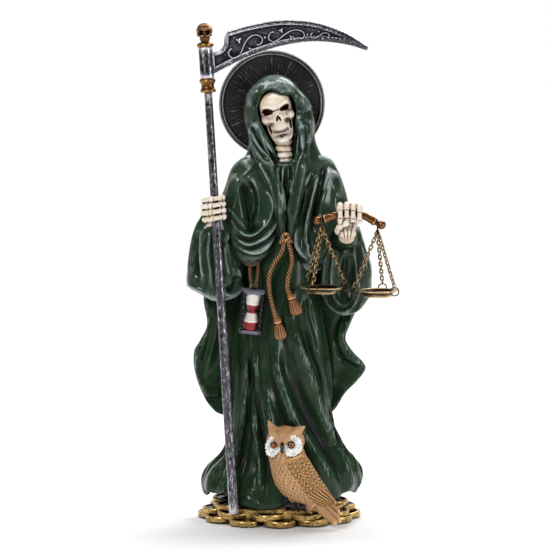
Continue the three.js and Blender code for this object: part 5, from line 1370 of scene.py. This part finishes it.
def makeBlade(b):
    columns, early = b["columns"], b["notchColumns"]
    notch = through(b["upper"][:5], early + 1)
    back = through(b["upper"][4:], columns - early)
    upper = np.vstack([notch[:-1], back])
    # the lower edge is drawn in step with the notch above it
    fine = 900
    lower = through(b["lower"], fine)
    share = np.interp(np.linspace(0, 1, len(upper)), [0, early / columns, 1], [0, b["notchShare"], 1])
    lower = np.stack([np.interp(share * (fine - 1), np.arange(fine), lower[:, k]) for k in range(2)], 1)
    v = np.linspace(0, 1, b["rows"])[:, None, None]
    flat = mix(lower, upper, v)
    p = flat.reshape(-1, 2)
    toLower = gapTo(p, lower[::6])[0]
    toUpper = gapTo(p, back[::6])[0]
    toHeel = gapTo(p, np.vstack([lower[:1], notch]))[0]
    near = np.minimum(np.minimum(toUpper - b["spineBand"], toLower - b["cutBand"]), toHeel - b["borderBand"])
    face = b["half"] - 0.75 * smooth(0, 0.55, near)
    face -= 0.3 * np.exp(-((toUpper - b["spineBand"] * 0.5) / 0.3) ** 2) * (toUpper < 5)
    bevel = smooth(b["cutBand"], 0, toLower)
    face = mix(face, b["edgeHalf"], bevel)
    face = np.minimum(face, 0.35 + 1.5 * np.minimum(toUpper, toHeel) / 0.7)
    for line in b["scrolls"]:
        gap, s, _ = gapTo(p, through(line, 60))
        face += 0.7 * np.exp(-(gap / 0.3) ** 2) * smooth(0, 0.05, s) * (1 - smooth(0.95, 1, s))
    for x, z, size in b["dots"]:
        face += 0.6 * smooth(size * 1.4, size * 0.6, np.hypot(p[:, 0] - x, p[:, 1] - z))
    for x, z, size, way in b["leaves"]:
        # a small trefoil, three lobes about its middle
        off = np.hypot(p[:, 0] - x, p[:, 1] - z)
        around = np.arctan2(p[:, 1] - z, p[:, 0] - x) - way
        face += 0.5 * smooth(1.15, 0.7, off / (size * (0.62 + 0.38 * np.cos(3 * around))))
    face = face.reshape(flat.shape[:2])
    side = np.stack([flat[..., 0], -face, flat[..., 1]], -1)
    other = np.stack([flat[..., 0], face, flat[..., 1]], -1)
    grid = np.concatenate([side, other[::-1]])     # its columns run round the blade's section
    return inScytheFrame(wobbled(ringed(grid.transpose(1, 0, 2)), 5, 0.06, 47))


sculpt("pole", makePole(scythe), polePaint, "scythe", fine=(4, 0.08), broad=(30, 0.35))
sculpt("socketTube", makeSocket(scythe), polePaint, "scythe", fine=(4, 0.08), broad=(20, 0.35))
sculpt("collarsAndFinial", makeCollars(scythe), finialPaint, "scythe", fine=(4, 0.08),
       broad=(20, 0.45))
sculpt("blade", makeBlade(bladeFace), steelPaint, "scythe", fine=(4, 0.06), broad=(24, 0.25),
       keep=0.35)
print("scythe")


# the balance: beam, chains and pans
balance = {
    "beam": 1.8, "neck": 1.1, "hangs": {"left": (20, -30.5, 147.5), "right": (46.5, -30.5, 145.9)},
    "wire": 0.62, "hanger": 2.6, "rimRing": 2.0, "pan": 10.2, "drop": 31.6, "inset": 1.1, "links": 15,
    "angles": {"left": (8, 128, 248), "right": (195, 315, 75)}, "grain": 0.2,
}


def makeBeam(b):
    line = through([(x, beamDepth, z) for x, z in beamPath], 150)
    r = np.full(len(line), b["beam"])
    for hang in b["hangs"].values():
        near = np.abs(line[:, 0] - hang[0])
        r = np.where(near < 2.2, mix(b["neck"], b["beam"], smooth(0.6, 1.1, near)), r)
        r += 0.3 * np.exp(-((near - 1.6) / 0.3) ** 2)
    r += 0.12 * np.sin(line[:, 0] * 0.9) ** 2
    worn = lambda s, a: 1 + 0.04 * np.cos(2 * a + 6 * s)
    forms = [tube(line, r, 36, ribs=worn)]
    for end in (line[0], line[-1]):
        forms.append(egg(end, (2.15, 2.15, 2.15)))
    return cast(forms, b["grain"], 1)


def chainRun(start, stop, count, wire, firstSide):
    # oval links, each turned a quarter from the last
    start, stop = np.array(start, float), np.array(stop, float)
    along = (stop - start) / np.linalg.norm(stop - start)
    pitch = np.linalg.norm(stop - start) / count
    forms = []
    for i in range(count):
        side = np.array(firstSide if i % 2 else np.cross(along, firstSide), float)
        side -= along * (side @ along)
        side /= np.linalg.norm(side)
        axes = np.stack([side, along, np.cross(side, along)], 1)
        one = loop(wire * 1.35, wire, segments=14, sides=6, stretch=pitch / 2 - wire * 0.8)
        forms.append((one[0] @ axes.T + start + along * pitch * (i + 0.5), one[1], one[2]))
    return together(forms)


def makeChains(b, side):
    hang = np.array(b["hangs"][side])
    ring = hang + np.array([0, 0, b["neck"] + 0.15 + 0.35 - b["hanger"]])
    forms = [loop(b["hanger"], b["wire"] * 1.1, ring, (0, math.pi / 2, 0), 40, 10)]
    for degrees in b["angles"][side]:
        a = math.radians(degrees)
        reach = b["pan"] - b["inset"] + b["rimRing"]
        middle = hang + np.array([reach * math.cos(a), reach * math.sin(a), -b["drop"]])
        forms.append(loop(b["rimRing"], b["wire"], middle, (math.pi / 2, 0, a), 32, 8))
        spread = 0.45 * math.sin(a)
        top = ring + np.array([0, b["hanger"] * math.sin(spread), -b["hanger"] * math.cos(spread)])
        bottom = middle + np.array([0, 0, b["rimRing"]])
        forms.append(chainRun(top, bottom, b["links"], b["wire"], (-math.sin(a), math.cos(a), 0)))
    return together(forms)


def makePan(b, side):
    r = b["pan"]
    rim = np.array(b["hangs"][side]) - np.array([0, 0, b["drop"]])
    outline = [(0.4, -3.2), (r * 0.58, -3.2), (r * 0.68, -2.7), (r - 2, -1), (r - 0.6, -0.75),
               (r - 0.05, -0.55), (r + 0.05, -0.2), (r - 0.3, 0.05), (r - 1, -0.05), (r - 2, -0.1),
               (r - 2.6, -0.7), (r * 0.55, -2.2), (0.4, -2.1)]
    beaten = lambda s, a: 1 + 0.012 * np.cos(5 * a + 7 * s)
    return wobbled(lathe(through(outline, 90), 110, rim, ribs=beaten), 3, 0.1, 53)


sculpt("beam", makeBeam(balance), copperPaint, "scale_beam", fine=(4, 0.05), broad=(20, 0.2))
for side in ("left", "right"):
    chains, pan = makeChains(balance, side), makePan(balance, side)
    sculpt(side + "Chains", chains, brassPaint, side + "_scale_chains", fine=(2, 0.05),
           broad=(6, 0.1))
    sculpt(side + "Pan", pan, brassPaint, side + "_scale_pan", fine=(4, 0.05), broad=(30, 0.3))
print("balance")


# hourglass on its two cords
hourglass = {
    "place": (-13, -19.8, 103), "tilt": (0.12, 0.1, 0), "half": 10.5, "wide": 5.3, "deep": 3.8,
    "bulb": [(-9.2, 2.9), (-8.4, 3.3), (-6.6, 3.35), (-5, 3.3), (-3.6, 3.1), (-1.6, 2.7), (-0.4, 2.2),
             (0.4, 2), (1.4, 2.3), (2.6, 2.8), (4.4, 3.1), (6.4, 3.3), (8.4, 3.3), (9.2, 2.9)],
    "whiteParts": [(3.5, 9.2), (-4.8, -0.6)], "redParts": [(-0.6, 3.5), (-9.2, -4.8)],
}


def roundedPlate(wide, deep, levels):
    # a rounded rectangle at each (height, share of the size)
    a = np.arange(64) * turn / 64
    c, s = np.cos(a), np.sin(a)
    ring = np.stack([wide * np.sign(c) * np.abs(c) ** 0.45, deep * np.sign(s) * np.abs(s) ** 0.45], -1)
    grid = np.stack([np.column_stack([ring * size, np.full(64, z)]) for z, size in levels])
    return ringed(grid)


def makeHourglassFrame(h):
    top, forms = h["half"], []
    for end in (1, -1):
        steps = [(1.5, 0.8), (1.35, 0.94), (0.8, 1.0), (0.5, 0.97), (0.4, 1.0), (0.1, 0.97), (0, 0.86)]
        levels = [(end * (top - below), size) for below, size in steps]
        forms.append(roundedPlate(h["wide"], h["deep"], levels))
    twisted = lambda s, a: 1 + 0.16 * np.cos(2 * a - 46 * s)
    for x in (-1, 1):
        for y in (-1, 1):
            px, py = x * (h["wide"] - 1.0), y * (h["deep"] - 1.0)
            path = [(px, py, -top + 1), (px, py, top - 1)]
            forms.append(tube(path, [0.62, 0.62], 14, count=110, ribs=twisted))
            for z in (-7.6, 7.6, 0):
                forms.append(egg((px, py, z), (0.85, 0.85, 0.6), rows=12, segments=18))
    forms.append(loop(1.2, 0.7, (0, 0, top + 1.3), (math.pi / 2, 0, 0), 26, 8))
    forms.append(egg((0, 0, top + 0.1), (1.3, 1.1, 0.6), rows=12, segments=18))
    return moved(together(forms), h["place"], h["tilt"])


def makeBulbs(h, parts):
    forms = []
    for low, high in parts:
        z = np.linspace(low, high, 26)
        forms.append(lathe(np.column_stack([curve(h["bulb"])(z), z]), 44))
    return moved(together(forms), h["place"], h["tilt"])


pewter = {
    "base": (26, 24, 30), "patch": (17, 16, 21), "washAndShade": (6, 6, 8), "brushAndHighlight": (132, 130, 146),
    "washAndShadeAt": (0.34, 0.54), "brushAndHighlightAt": (0.74, 1.1), "rough": 0.5, "metal": 0.1, "specular": 0.2,
    "scatter": 1.1, "streak": 1500,
}
whiteSand = {
    "base": (226, 222, 214), "patch": (206, 200, 190), "washAndShade": (90, 78, 66), "brushAndHighlight": (245, 243, 240),
    "washAndShadeAt": (0.2, 0.42), "brushAndHighlightAt": (0.6, 0.9), "rough": 0.3, "shelter": 1.5,
}
redSand = {
    "base": (150, 24, 26), "patch": (122, 17, 20), "washAndShade": (40, 8, 8), "brushAndHighlight": (190, 60, 54),
    "washAndShadeAt": (0.2, 0.42), "brushAndHighlightAt": (0.64, 0.95), "rough": 0.28, "shelter": 1.5,
}
pewterPaint = handPaint("pewter", pewter)
whitePaint = handPaint("whiteSand", whiteSand)
redPaint = handPaint("redSand", redSand)
sculpt("hourglassFrame", makeHourglassFrame(hourglass), pewterPaint, fine=(3, 0.05),
       broad=(14, 0.15))
for name, paint, parts in (("whiteSand", whitePaint, "whiteParts"), ("redSand", redPaint, "redParts")):
    sculpt(name, makeBulbs(hourglass, hourglass[parts]), paint, fine=(3, 0.1), broad=(20, 0.4))


# rope belt: twisted cords, a knot and two tassels
rope = {
    "radius": 0.95, "twist": 4.6, "cordRadius": 0.72, "cordTwist": 3,
    "lines": [
        [(2.8, -16.6, 137), (1.3, -17.9, 131.5), (-2.6, -18.7, 125.5), (-4.7, -19, 119.5),
         (-4.5, -19.2, 112.5), (-3.2, -19.5, 106), (-1.4, -19.8, 99)],
        [(3.9, -16.6, 137), (5.8, -17.7, 131), (6.2, -18.3, 126), (4.5, -18.8, 119.7), (4, -19.1, 114.5),
         (5.2, -19.3, 110.5)],
        [(2.2, -16.4, 135.6), (1.9, -17.6, 138.2), (3.1, -18.2, 139.8), (4.5, -17.9, 138.8), (4.5, -17, 136)],
        [(1.2, -16.8, 136), (2.8, -18.7, 137), (4.6, -18.5, 137.2), (5.6, -16.8, 136.4)],
    ],
    "cords": [[(-13.8, -11, 129), (-14, -16.4, 122), (-13.2, -19.4, 114.9)],
              [(-9.8, -11, 129), (-10.2, -16.4, 122), (-11, -19.4, 114.9)]],
    "tassels": [{"place": (-1, -19.6, 99.5), "lean": -0.22}, {"place": (5.4, -19.2, 111), "lean": -0.34}],
    "tasselLength": 10.2,
    "tasselHead": [(1.35, -2.5), (1.25, -2), (1.75, -1.5), (1.85, -0.7), (1.4, 0.1), (0.6, 0.6)],
}


def twistedCord(path, radius, twist):
    length = np.linalg.norm(np.diff(np.array(path, float), axis=0), axis=1).sum()
    strands = lambda s, a: 0.8 + 0.34 * np.abs(np.cos(1.5 * a - turn * length / twist * 1.5 * s)) ** 0.7
    return tube(path, [radius] * len(path), 30, count=int(length * 8), ribs=strands)


def makeTassel(t, length):
    skirt = [(0.5, -length - 0.3), (1.9, -length), (2.7, -length * 0.9), (2.8, -length * 0.75),
             (2.4, -length * 0.52), (1.9, -length * 0.32)]
    pairs = through(skirt + rope["tasselHead"], 90)
    loose = smooth(0.75, 0.6, (pairs[:, 1:] + length) / length)
    threads = lambda s, a: 1 + (0.09 * np.abs(np.cos(6 * a + 0.5 * np.sin(6 * s))) - 0.06) * loose
    head = loop(1.4, 0.8, (0, 0, -1.9), segments=30)
    tassel = together([lathe(pairs, 98, ribs=threads), head])
    return moved(tassel, t["place"], (0.05, t["lean"], 0))


ropeForms = [twistedCord(line, rope["radius"], rope["twist"]) for line in rope["lines"]]
ropeForms += [twistedCord(line, rope["cordRadius"], rope["cordTwist"]) for line in rope["cords"]]
sculpt("ropeBelt", together(ropeForms), ropePaint, fine=(3, 0.06), broad=(14, 0.16))
tassels = [makeTassel(t, rope["tasselLength"]) for t in rope["tassels"]]
sculpt("ropeTassels", together(tassels), ropePaint, fine=(3, 0.1), broad=(14, 0.28))
print("hourglass and rope")


# owl
owl = {
    "spine": [(2.6, -26.5, 41), (4.4, -26.5, 32), (8, -26.6, 23.5), (12.8, -27.4, 16), (17.6, -28, 11)],
    "girth": [7.6, 8.9, 9.8, 7.4, 4.2],
    "head": ((3.1, -27.4, 41.8), (9.2, 7.4, 7.2)), "grain": 0.3, "settle": 14,
    "tufts": [[(-0.4, -28, 44.4), (-3, -29, 47.8), (-4.9, -29.4, 51.4)],
              [(5.6, -28, 44.6), (8.8, -29, 46.8), (12, -29.4, 48.8)]],
    "brows": [[(-4.2, -29, 49.6), (-3, -30.9, 46.4), (-1, -32.9, 43.8), (0.9, -34.2, 41.2)],
              [(10.8, -29, 47.9), (8, -31.3, 46.2), (4.8, -33.1, 44.2), (2.2, -34.4, 41.4)]],
    "discs": [
        {"centre": (-2.6, -32.9, 40.2), "size": (3.7, 5.5), "tilt": (math.pi / 2, 0, -0.42), "lean": 0.1,
         "eye": (-2.7, -34.3, 40.6), "eyeSize": 1.5},
        {"centre": (6.3, -33.9, 40.2), "size": (4.7, 5.4), "tilt": (math.pi / 2, 0, 0.16), "lean": -0.2,
         "eye": (5.9, -35.3, 40.9), "eyeSize": 1.75},
    ],
    "beak": [(1.5, -35.2, 41.6), (1.5, -36.3, 39.8), (1.5, -36.1, 38), (1.5, -35.3, 36.8)],
    "wing": [(6.8, -33.2, 34.4), (8.6, -33.6, 29.8), (11.3, -33.4, 25), (15.4, -32.8, 20.2),
             (20.6, -32, 15.6), (26, -31.6, 11.4)],
    "wingWide": [4.2, 6.6, 7, 5.9, 4.2, 1.6],
    "tail": [[(15.5, -28.8, 13), (20.6, -31.4, 8.6), (26.3, -34.8, 3.8)],
             [(16.5, -28.6, 14), (22.4, -31.2, 9.8), (28.3, -34.4, 4.8)],
             [(18.6, -28.4, 15), (24, -30.6, 11), (27.6, -31.6, 8.4)]],
    "feet": [[(7.6, -31, 12.2), (6.8, -33, 10.4), (6.4, -34, 9.2)],
             [(9.4, -31, 12.2), (9.2, -33.4, 10.2), (9.2, -34.4, 9)],
             [(11.2, -31, 12.2), (11.8, -33, 10.4), (12.4, -33.8, 9.2)],
             [(3.6, -28.6, 14.6), (2.6, -30.6, 12.8), (2, -31.6, 11.6)]],
}
owlTan = {
    "base": (200, 154, 106), "patch": (180, 134, 96), "washAndShade": (74, 46, 30), "brushAndHighlight": (222, 180, 130),
    "washAndShadeAt": (0.2, 0.44), "brushAndHighlightAt": (0.6, 0.9), "rough": 0.55, "shelter": 2.6, "mottle": 0.2, "cloud": 120,
    "streak": 1200,
}
wingOchre = {
    "base": (196, 144, 84), "patch": (160, 112, 68), "washAndShade": (48, 29, 19), "brushAndHighlight": (222, 178, 104),
    "washAndShadeAt": (0.3, 0.5), "brushAndHighlightAt": (0.57, 0.84), "rough": 0.52, "shelter": 2.2, "mottle": 0.5,
    "cloud": 500, "streak": 1200,
}
discWhite = {
    "base": (250, 248, 244), "patch": (240, 237, 231), "washAndShade": (128, 116, 106), "brushAndHighlight": (250, 249, 248),
    "washAndShadeAt": (0.14, 0.36), "brushAndHighlightAt": (0.55, 0.85), "rough": 0.5, "shelter": 1.4,
}
eyeBlack = {
    "base": (12, 10, 9), "patch": (18, 15, 13), "washAndShade": (4, 4, 4), "brushAndHighlight": (60, 56, 54),
    "washAndShadeAt": (0.2, 0.4), "brushAndHighlightAt": (0.75, 0.98), "rough": 0.22, "shelter": 1,
}
eyeOrange = {
    "base": (214, 128, 24), "patch": (190, 100, 16), "washAndShade": (90, 42, 8), "brushAndHighlight": (246, 180, 70),
    "washAndShadeAt": (0.2, 0.4), "brushAndHighlightAt": (0.6, 0.9), "rough": 0.2, "shelter": 0.6,
}
tanPaint, wingPaint = handPaint("owlTan", owlTan), handPaint("wingOchre", wingOchre)
discPaint, blackPaint = handPaint("discWhite", discWhite), handPaint("eyeBlack", eyeBlack)
orangePaint = handPaint("eyeOrange", eyeOrange)


def featherTips(u, v):
    # staggered rows of rounded feathers whose tips lie over the next row
    best = np.zeros(np.broadcast(u, v).shape)
    for back in (0, 1):
        row = np.floor(v) - back
        across = (u + 0.5 * (row % 2)) % 1 - 0.5
        down = v - row
        inside = 1 - (across / 0.5) ** 2 * 0.95 - np.clip((down - 0.8) / 0.7, 0, 9) ** 2
        quill = 0.12 * np.exp(-(across / 0.06) ** 2) * (inside > 0.1)
        best = np.maximum(best, smooth(0, 0.3, inside) * (0.3 + 0.5 * down) - quill)
    return best


def spineRings(path, radii, rows, cols, guide, flat, most=math.inf):
    # rings round a smooth spine, flattened from front to back, where no radius is over the most
    both = through(np.column_stack([path, radii]), rows)
    p, r = both[:, :3], both[:, 3]
    way = np.gradient(p, axis=0)
    way /= np.linalg.norm(way, axis=1, keepdims=True)
    side = np.cross(way, np.array(guide))
    side /= np.linalg.norm(side, axis=1, keepdims=True)
    front = np.cross(side, way)
    a = np.arange(cols) * turn / cols
    return ringed(p[:, None] + side[:, None] * (r[:, None] * np.cos(a))[..., None]
                  + front[:, None] * (np.minimum(r, most)[:, None] * flat * np.sin(a))[..., None])


def makeOwlBody(o, rows=150, cols=190):
    form = spineRings(o["spine"], o["girth"], rows, cols, (0, 1, 0), 0.86)
    a, s = np.arange(cols) * turn / cols, np.linspace(0, 1, rows)[:, None]
    # soft ruffled breast, its bumps uneven
    ruffle = np.sin(a * 23 + 2.2 * np.sin(s * 19)) * np.sin(s * 74 + 1.8 * np.sin(a * 5))
    ruffle = ruffle + 0.7 * np.sin(a * 37 + s * 30) * np.sin(s * 49 - a * 11)
    tips = featherTips(a / turn * 26 + 0.2 * np.sin(s * 25), s * 21 + 0.3 * np.sin(a * 7))
    return raised(form, np.append((ruffle * 0.13 + tips * 0.07).ravel(), [0, 0]), facing=None)


def makeOwlHead(o):
    centre, radii = o["head"]
    forms = [egg(centre, radii, rows=40, segments=60)]
    forms += [tube(t, [3.4, 2.3, 0.7], 20, count=24) for t in o["tufts"]]
    forms += [tube(t, [1.3, 2, 2, 1.2], 20, count=24) for t in o["brows"]]
    forms.append(egg((2.2, -30.4, 44), (5.8, 3.8, 3.6)))
    form = cast(forms, o["grain"], o["settle"])
    p = form[0]
    across = (p[:, 0] - 2.2) * 0.9
    down = np.sin(p[:, 2] * 2.6 + np.sin(p[:, 0] * 1.3) * 0.8)
    return raised(form, np.sin(across * 3.4 + np.sin(p[:, 2] * 1.1)) * down * 0.06, facing=None)


def makeDisc(d):
    # frilled feathers spread round the eye
    a = np.arange(170) * turn / 170
    r = np.linspace(0.04, 1, 50)[:, None]
    frill = 1 + 0.05 * np.cos(19 * a + 1) + 0.03 * np.cos(7 * a + 2)
    barbs = 0.16 * np.cos(28 * a + 2.2 * np.sin(5 * a)) * smooth(0.3, 0.6, r)
    rise = 0.55 + 0.5 * smooth(0.2, 0.9, r) - 0.9 * smooth(0.86, 1, r) ** 2 + barbs
    flat = np.stack([r * frill * np.cos(a) * d["size"][0], r * frill * np.sin(a) * d["size"][1],
                     rise + 0 * a], -1)
    back = flat[-1:].copy()
    back[..., 2] = -1.4
    grid = placed(np.concatenate([flat, back]), (0, 0, 0), (0, 0, d["lean"]))
    return moved(ringed(grid), d["centre"], d["tilt"])


def makeWing(o, rows=170, cols=200):
    form = spineRings(o["wing"], o["wingWide"], rows, cols, (0.28, 0.93, 0.1), 0.46, most=5)
    a = np.arange(cols) * turn / cols
    s = np.linspace(0, 1, rows)[:, None] + 0 * a
    flat = np.cos(a) * np.ones((rows, 1))
    down = s * 15 - 1.9 * np.abs(flat) + 0.4 * np.sin(flat * 9)
    coverts = featherTips(flat * 4 + 30 + 0.3 * np.sin(s * 31), down) * 0.6
    quills = (0.5 + 0.5 * np.cos((flat * 3.4 - s * 2.2) * turn)) ** 0.6 * 0.6
    quills = quills + 0.06 * np.cos(s * 150 + flat * 12)
    height = mix(coverts, quills, smooth(0.56, 0.66, s - 0.1 * flat))
    return raised(form, np.append(height.ravel(), [0, 0]), facing=None)


def makeTail(o):
    def barbs(s, a):
        quill = 0.1 * np.exp(-((a - turn * 0.75) / 0.12) ** 2)
        return 1 + 0.04 * np.cos(14 * a) + 0.02 * np.cos(70 * s + 3 * np.cos(a)) + quill
    return together([tube(path, [2.0, 2.2, 1.7], 90, 0.42, (0.3, 0.9, 0.3), count=110, ribs=barbs)
                     for path in o["tail"]])


sculpt("owlBody", makeOwlBody(owl), tanPaint, fine=(3, 0.1), broad=(16, 0.25))
sculpt("owlHead", makeOwlHead(owl), tanPaint, fine=(3, 0.16), broad=(30, 1.4))
sculpt("owlWing", makeWing(owl), wingPaint, fine=(3, 0.08), broad=(16, 0.25))
sculpt("owlTail", makeTail(owl), tanPaint, fine=(3, 0.06), broad=(16, 0.2))
sculpt("owlDiscs", together([makeDisc(d) for d in owl["discs"]]), discPaint, fine=(3, 0.08),
       broad=(14, 0.25))
blackForms, orangeForms = [], []
for d in owl["discs"]:
    x, y, z = d["eye"]
    size, spin = d["eyeSize"], (0, 0, d["tilt"][2])
    blackForms.append(egg((x, y, z), (size, 0.9, size), spin))
    orangeForms.append(egg((x, y - 0.45, z), (size * 0.64, 0.66, size * 0.64), spin))
    blackForms.append(egg((x, y - 0.95, z), (size * 0.34, 0.4, size * 0.34), spin))
blackForms.append(tube(owl["beak"], [0.8, 0.95, 0.75, 0.25], 20, count=24))
sculpt("owlEyeRingsAndBeak", together(blackForms), blackPaint)
sculpt("owlIrises", together(orangeForms), orangePaint)
scaly = lambda s, a: 1 + 0.12 * np.cos(30 * s)
toes = [tube(t, [1.1, 0.95, 0.6], 18, count=26, ribs=scaly) for t in owl["feet"]]
sculpt("owlFeet", together(toes), pewterPaint, fine=(3, 0.06), broad=(12, 0.15))
print("owl")


# base: rows of coins lying on each other round a core
base = {
    "width": 79, "depth": 66, "coin": 8.5, "thick": 3, "coreTop": 2.7,
    # each row: coins, inset from the one below, level in coins, tilt, share of a step that it starts at
    "rows": [(12, 0, 0, 0.02, 0.0), (10, 2, 1, 0.03, 0.21), (7, 5.4, 1.9, 0.08, 0.1)],
}


def makeCoin(radius, thick, seed):
    dice = np.random.default_rng(seed)
    h = thick / 2
    face = [(0.4, h - 0.55), (1.2, h - 0.5), (2.2, h - 0.3), (3.4, h - 0.28), (4.4, h - 0.55),
            (radius - 2.1, h - 0.62), (radius - 1.5, h - 0.1), (radius - 0.9, h + 0.02),
            (radius - 0.3, h - 0.12)]
    edge = [(radius, h - 0.45), (radius + 0.02, 0), (radius, -h + 0.4), (radius - 0.4, -h + 0.05),
            (radius - 1.6, -h), (0.4, -h)]
    worn = 0.012 * dice.uniform(0.5, 1)
    ribs = lambda s, a: 1 + worn * np.cos(3 * a + seed) + worn * 0.7 * np.cos(5 * a + 2 * seed)
    form = lathe(through(face + edge, 64), 76, ribs=ribs)
    p = form[0]
    # a worn five-petalled mark in the middle
    a = np.arctan2(p[:, 1], p[:, 0])
    r = np.hypot(p[:, 0], p[:, 1])
    petals = 0.14 * np.cos(5 * a + seed) * smooth(0.3, 1.6, r) * smooth(4.6, 3.2, r)
    p[:, 2] += np.where((p[:, 2] > h - 0.8) & (r < 4.6), petals, 0)
    return wobbled(form, 5, 0.18, seed + 60)


def makeBase(b):
    forms = []
    wide, deep = b["width"] / 2, b["depth"] / 2
    for row, (count, inset, level, tilt, start) in enumerate(b["rows"]):
        for i in range(count):
            a = turn * (i + start) / count
            lean = tilt * math.sin(i * 2.4)
            coin = makeCoin(b["coin"], b["thick"], row * 20 + i)
            coin = moved(coin, (0, 0, 0), (lean, lean * 1.3, a + i))
            z = b["thick"] * (level + 0.5)
            z += max(0, 0.02 - (coin[0][:, 2].min() + z))     # no coin sinks below the ground
            x, y = (wide - b["coin"] - inset) * math.cos(a), (deep - b["coin"] - inset) * math.sin(a)
            forms.append(moved(coin, (x, y, z)))
    top = b["thick"] * b["coreTop"]
    outline = through([(0.9, 0.1), (1, 0.6), (1, top - 1), (0.94, top - 0.3), (0.4, top), (0.02, top)], 40)
    forms.append(lathe(outline, 90, scale=(wide - b["coin"] * 0.9, deep - b["coin"] * 0.9, 1)))
    return together(forms)


sculpt("coinBase", makeBase(base), goldPaint, fine=(4, 0.08), broad=(24, 0.3), keep=0.3)
print("base of coins")


# the studio: a pale sweep of paper, a large key, a fill and a light from behind
studio = {
    "distance": 1320, "lift": 5.5, "aim": (-1.9, 0, 118.5), "lens": 178.5, "sensor": 36, "air": 0.14,
    # each lamp: place, target, size, power and tint
    "lamps": {
        "key": ((-420, -700, 620), (0, 0, 130), (200, 200), 4.2, (1, 1, 1)),
        "fill": ((720, -560, 260), (0, 0, 110), (180, 320), 2.5, (0.96, 0.98, 1)),
        "behind": ((260, 420, 620), (0, 0, 150), (400, 300), 2.4, (1, 1, 1)),
        "paperWash": ((0, 500, 2000), (0, 1700, 200), (2200, 600), 52, (1, 1, 1)),
    },
    # the paper from front to back: (y, z)
    "paper": [(-2400, 0), (-600, 0), (300, 0), (1200, 0), (1700, 12), (2000, 120), (2180, 420), (2230, 1000),
              (2230, 2600)],
    "paperHalf": 3200,
}


def lookAt(thing, place, target):
    thing.location = Vector(place) * mm
    thing.rotation_euler = (Vector(target) - Vector(place)).to_track_quat("-Z", "Y").to_euler()


def softLight(name, place, target, size, power, tint):
    lamp = bpy.data.lights.new(name, "AREA")
    lamp.shape = "RECTANGLE"
    lamp.size, lamp.size_y = size[0] * mm, size[1] * mm
    lamp.energy = power
    lamp.color = tint
    thing = bpy.data.objects.new(name, lamp)
    bpy.context.collection.objects.link(thing)
    lookAt(thing, place, target)


def makePaper(s, rows=80, cols=9):
    # flat under the figure, curving up behind it
    path = through(s["paper"], rows)
    x = np.linspace(-s["paperHalf"], s["paperHalf"], cols)
    grid = np.stack([x + 0 * path[:, :1], path[:, :1] + 0 * x, path[:, 1:] + 0 * x], -1)
    index = np.arange(rows * cols).reshape(rows, cols)
    quads = np.stack([index[:-1, :-1], index[:-1, 1:], index[1:, 1:], index[1:, :-1]], -1).reshape(-1, 4)
    thing = meshed("paperSweep", (grid.reshape(-1, 3), quads, np.zeros((0, 3), int)))
    thing.data.shade_smooth()
    pale = Recipe("palePaper")
    tone = pale.ramp(pale.noise(3, 2), [(0.3, srgb(238, 238, 238)), (0.7, srgb(242, 242, 242))])
    pale.join(tone, pale.shader.inputs["Base Color"])
    pale.shader.inputs["Roughness"].default_value = 0.8
    pale.shader.inputs["Specular IOR Level"].default_value = 0.1
    thing.data.materials.append(pale.paint)


makePaper(studio)
lens = bpy.data.cameras.new("portrait")
lens.sensor_width = studio["sensor"]
lens.lens = studio["lens"]
camera = bpy.data.objects.new("portrait", lens)
bpy.context.collection.objects.link(camera)
lift = math.radians(studio["lift"])
aim = Vector(studio["aim"])
lookAt(camera, aim + Vector((0, -math.cos(lift), math.sin(lift))) * studio["distance"], aim)
bpy.context.scene.camera = camera

for name, lamp in studio["lamps"].items():
    softLight(name, *lamp)

world = bpy.data.worlds.new("air")
world.use_nodes = True
air = world.node_tree.nodes["Background"]
air.inputs["Color"].default_value = (1, 1, 1, 1)
air.inputs["Strength"].default_value = studio["air"]
bpy.context.scene.world = world
bpy.context.scene.view_settings.view_transform = "Standard"
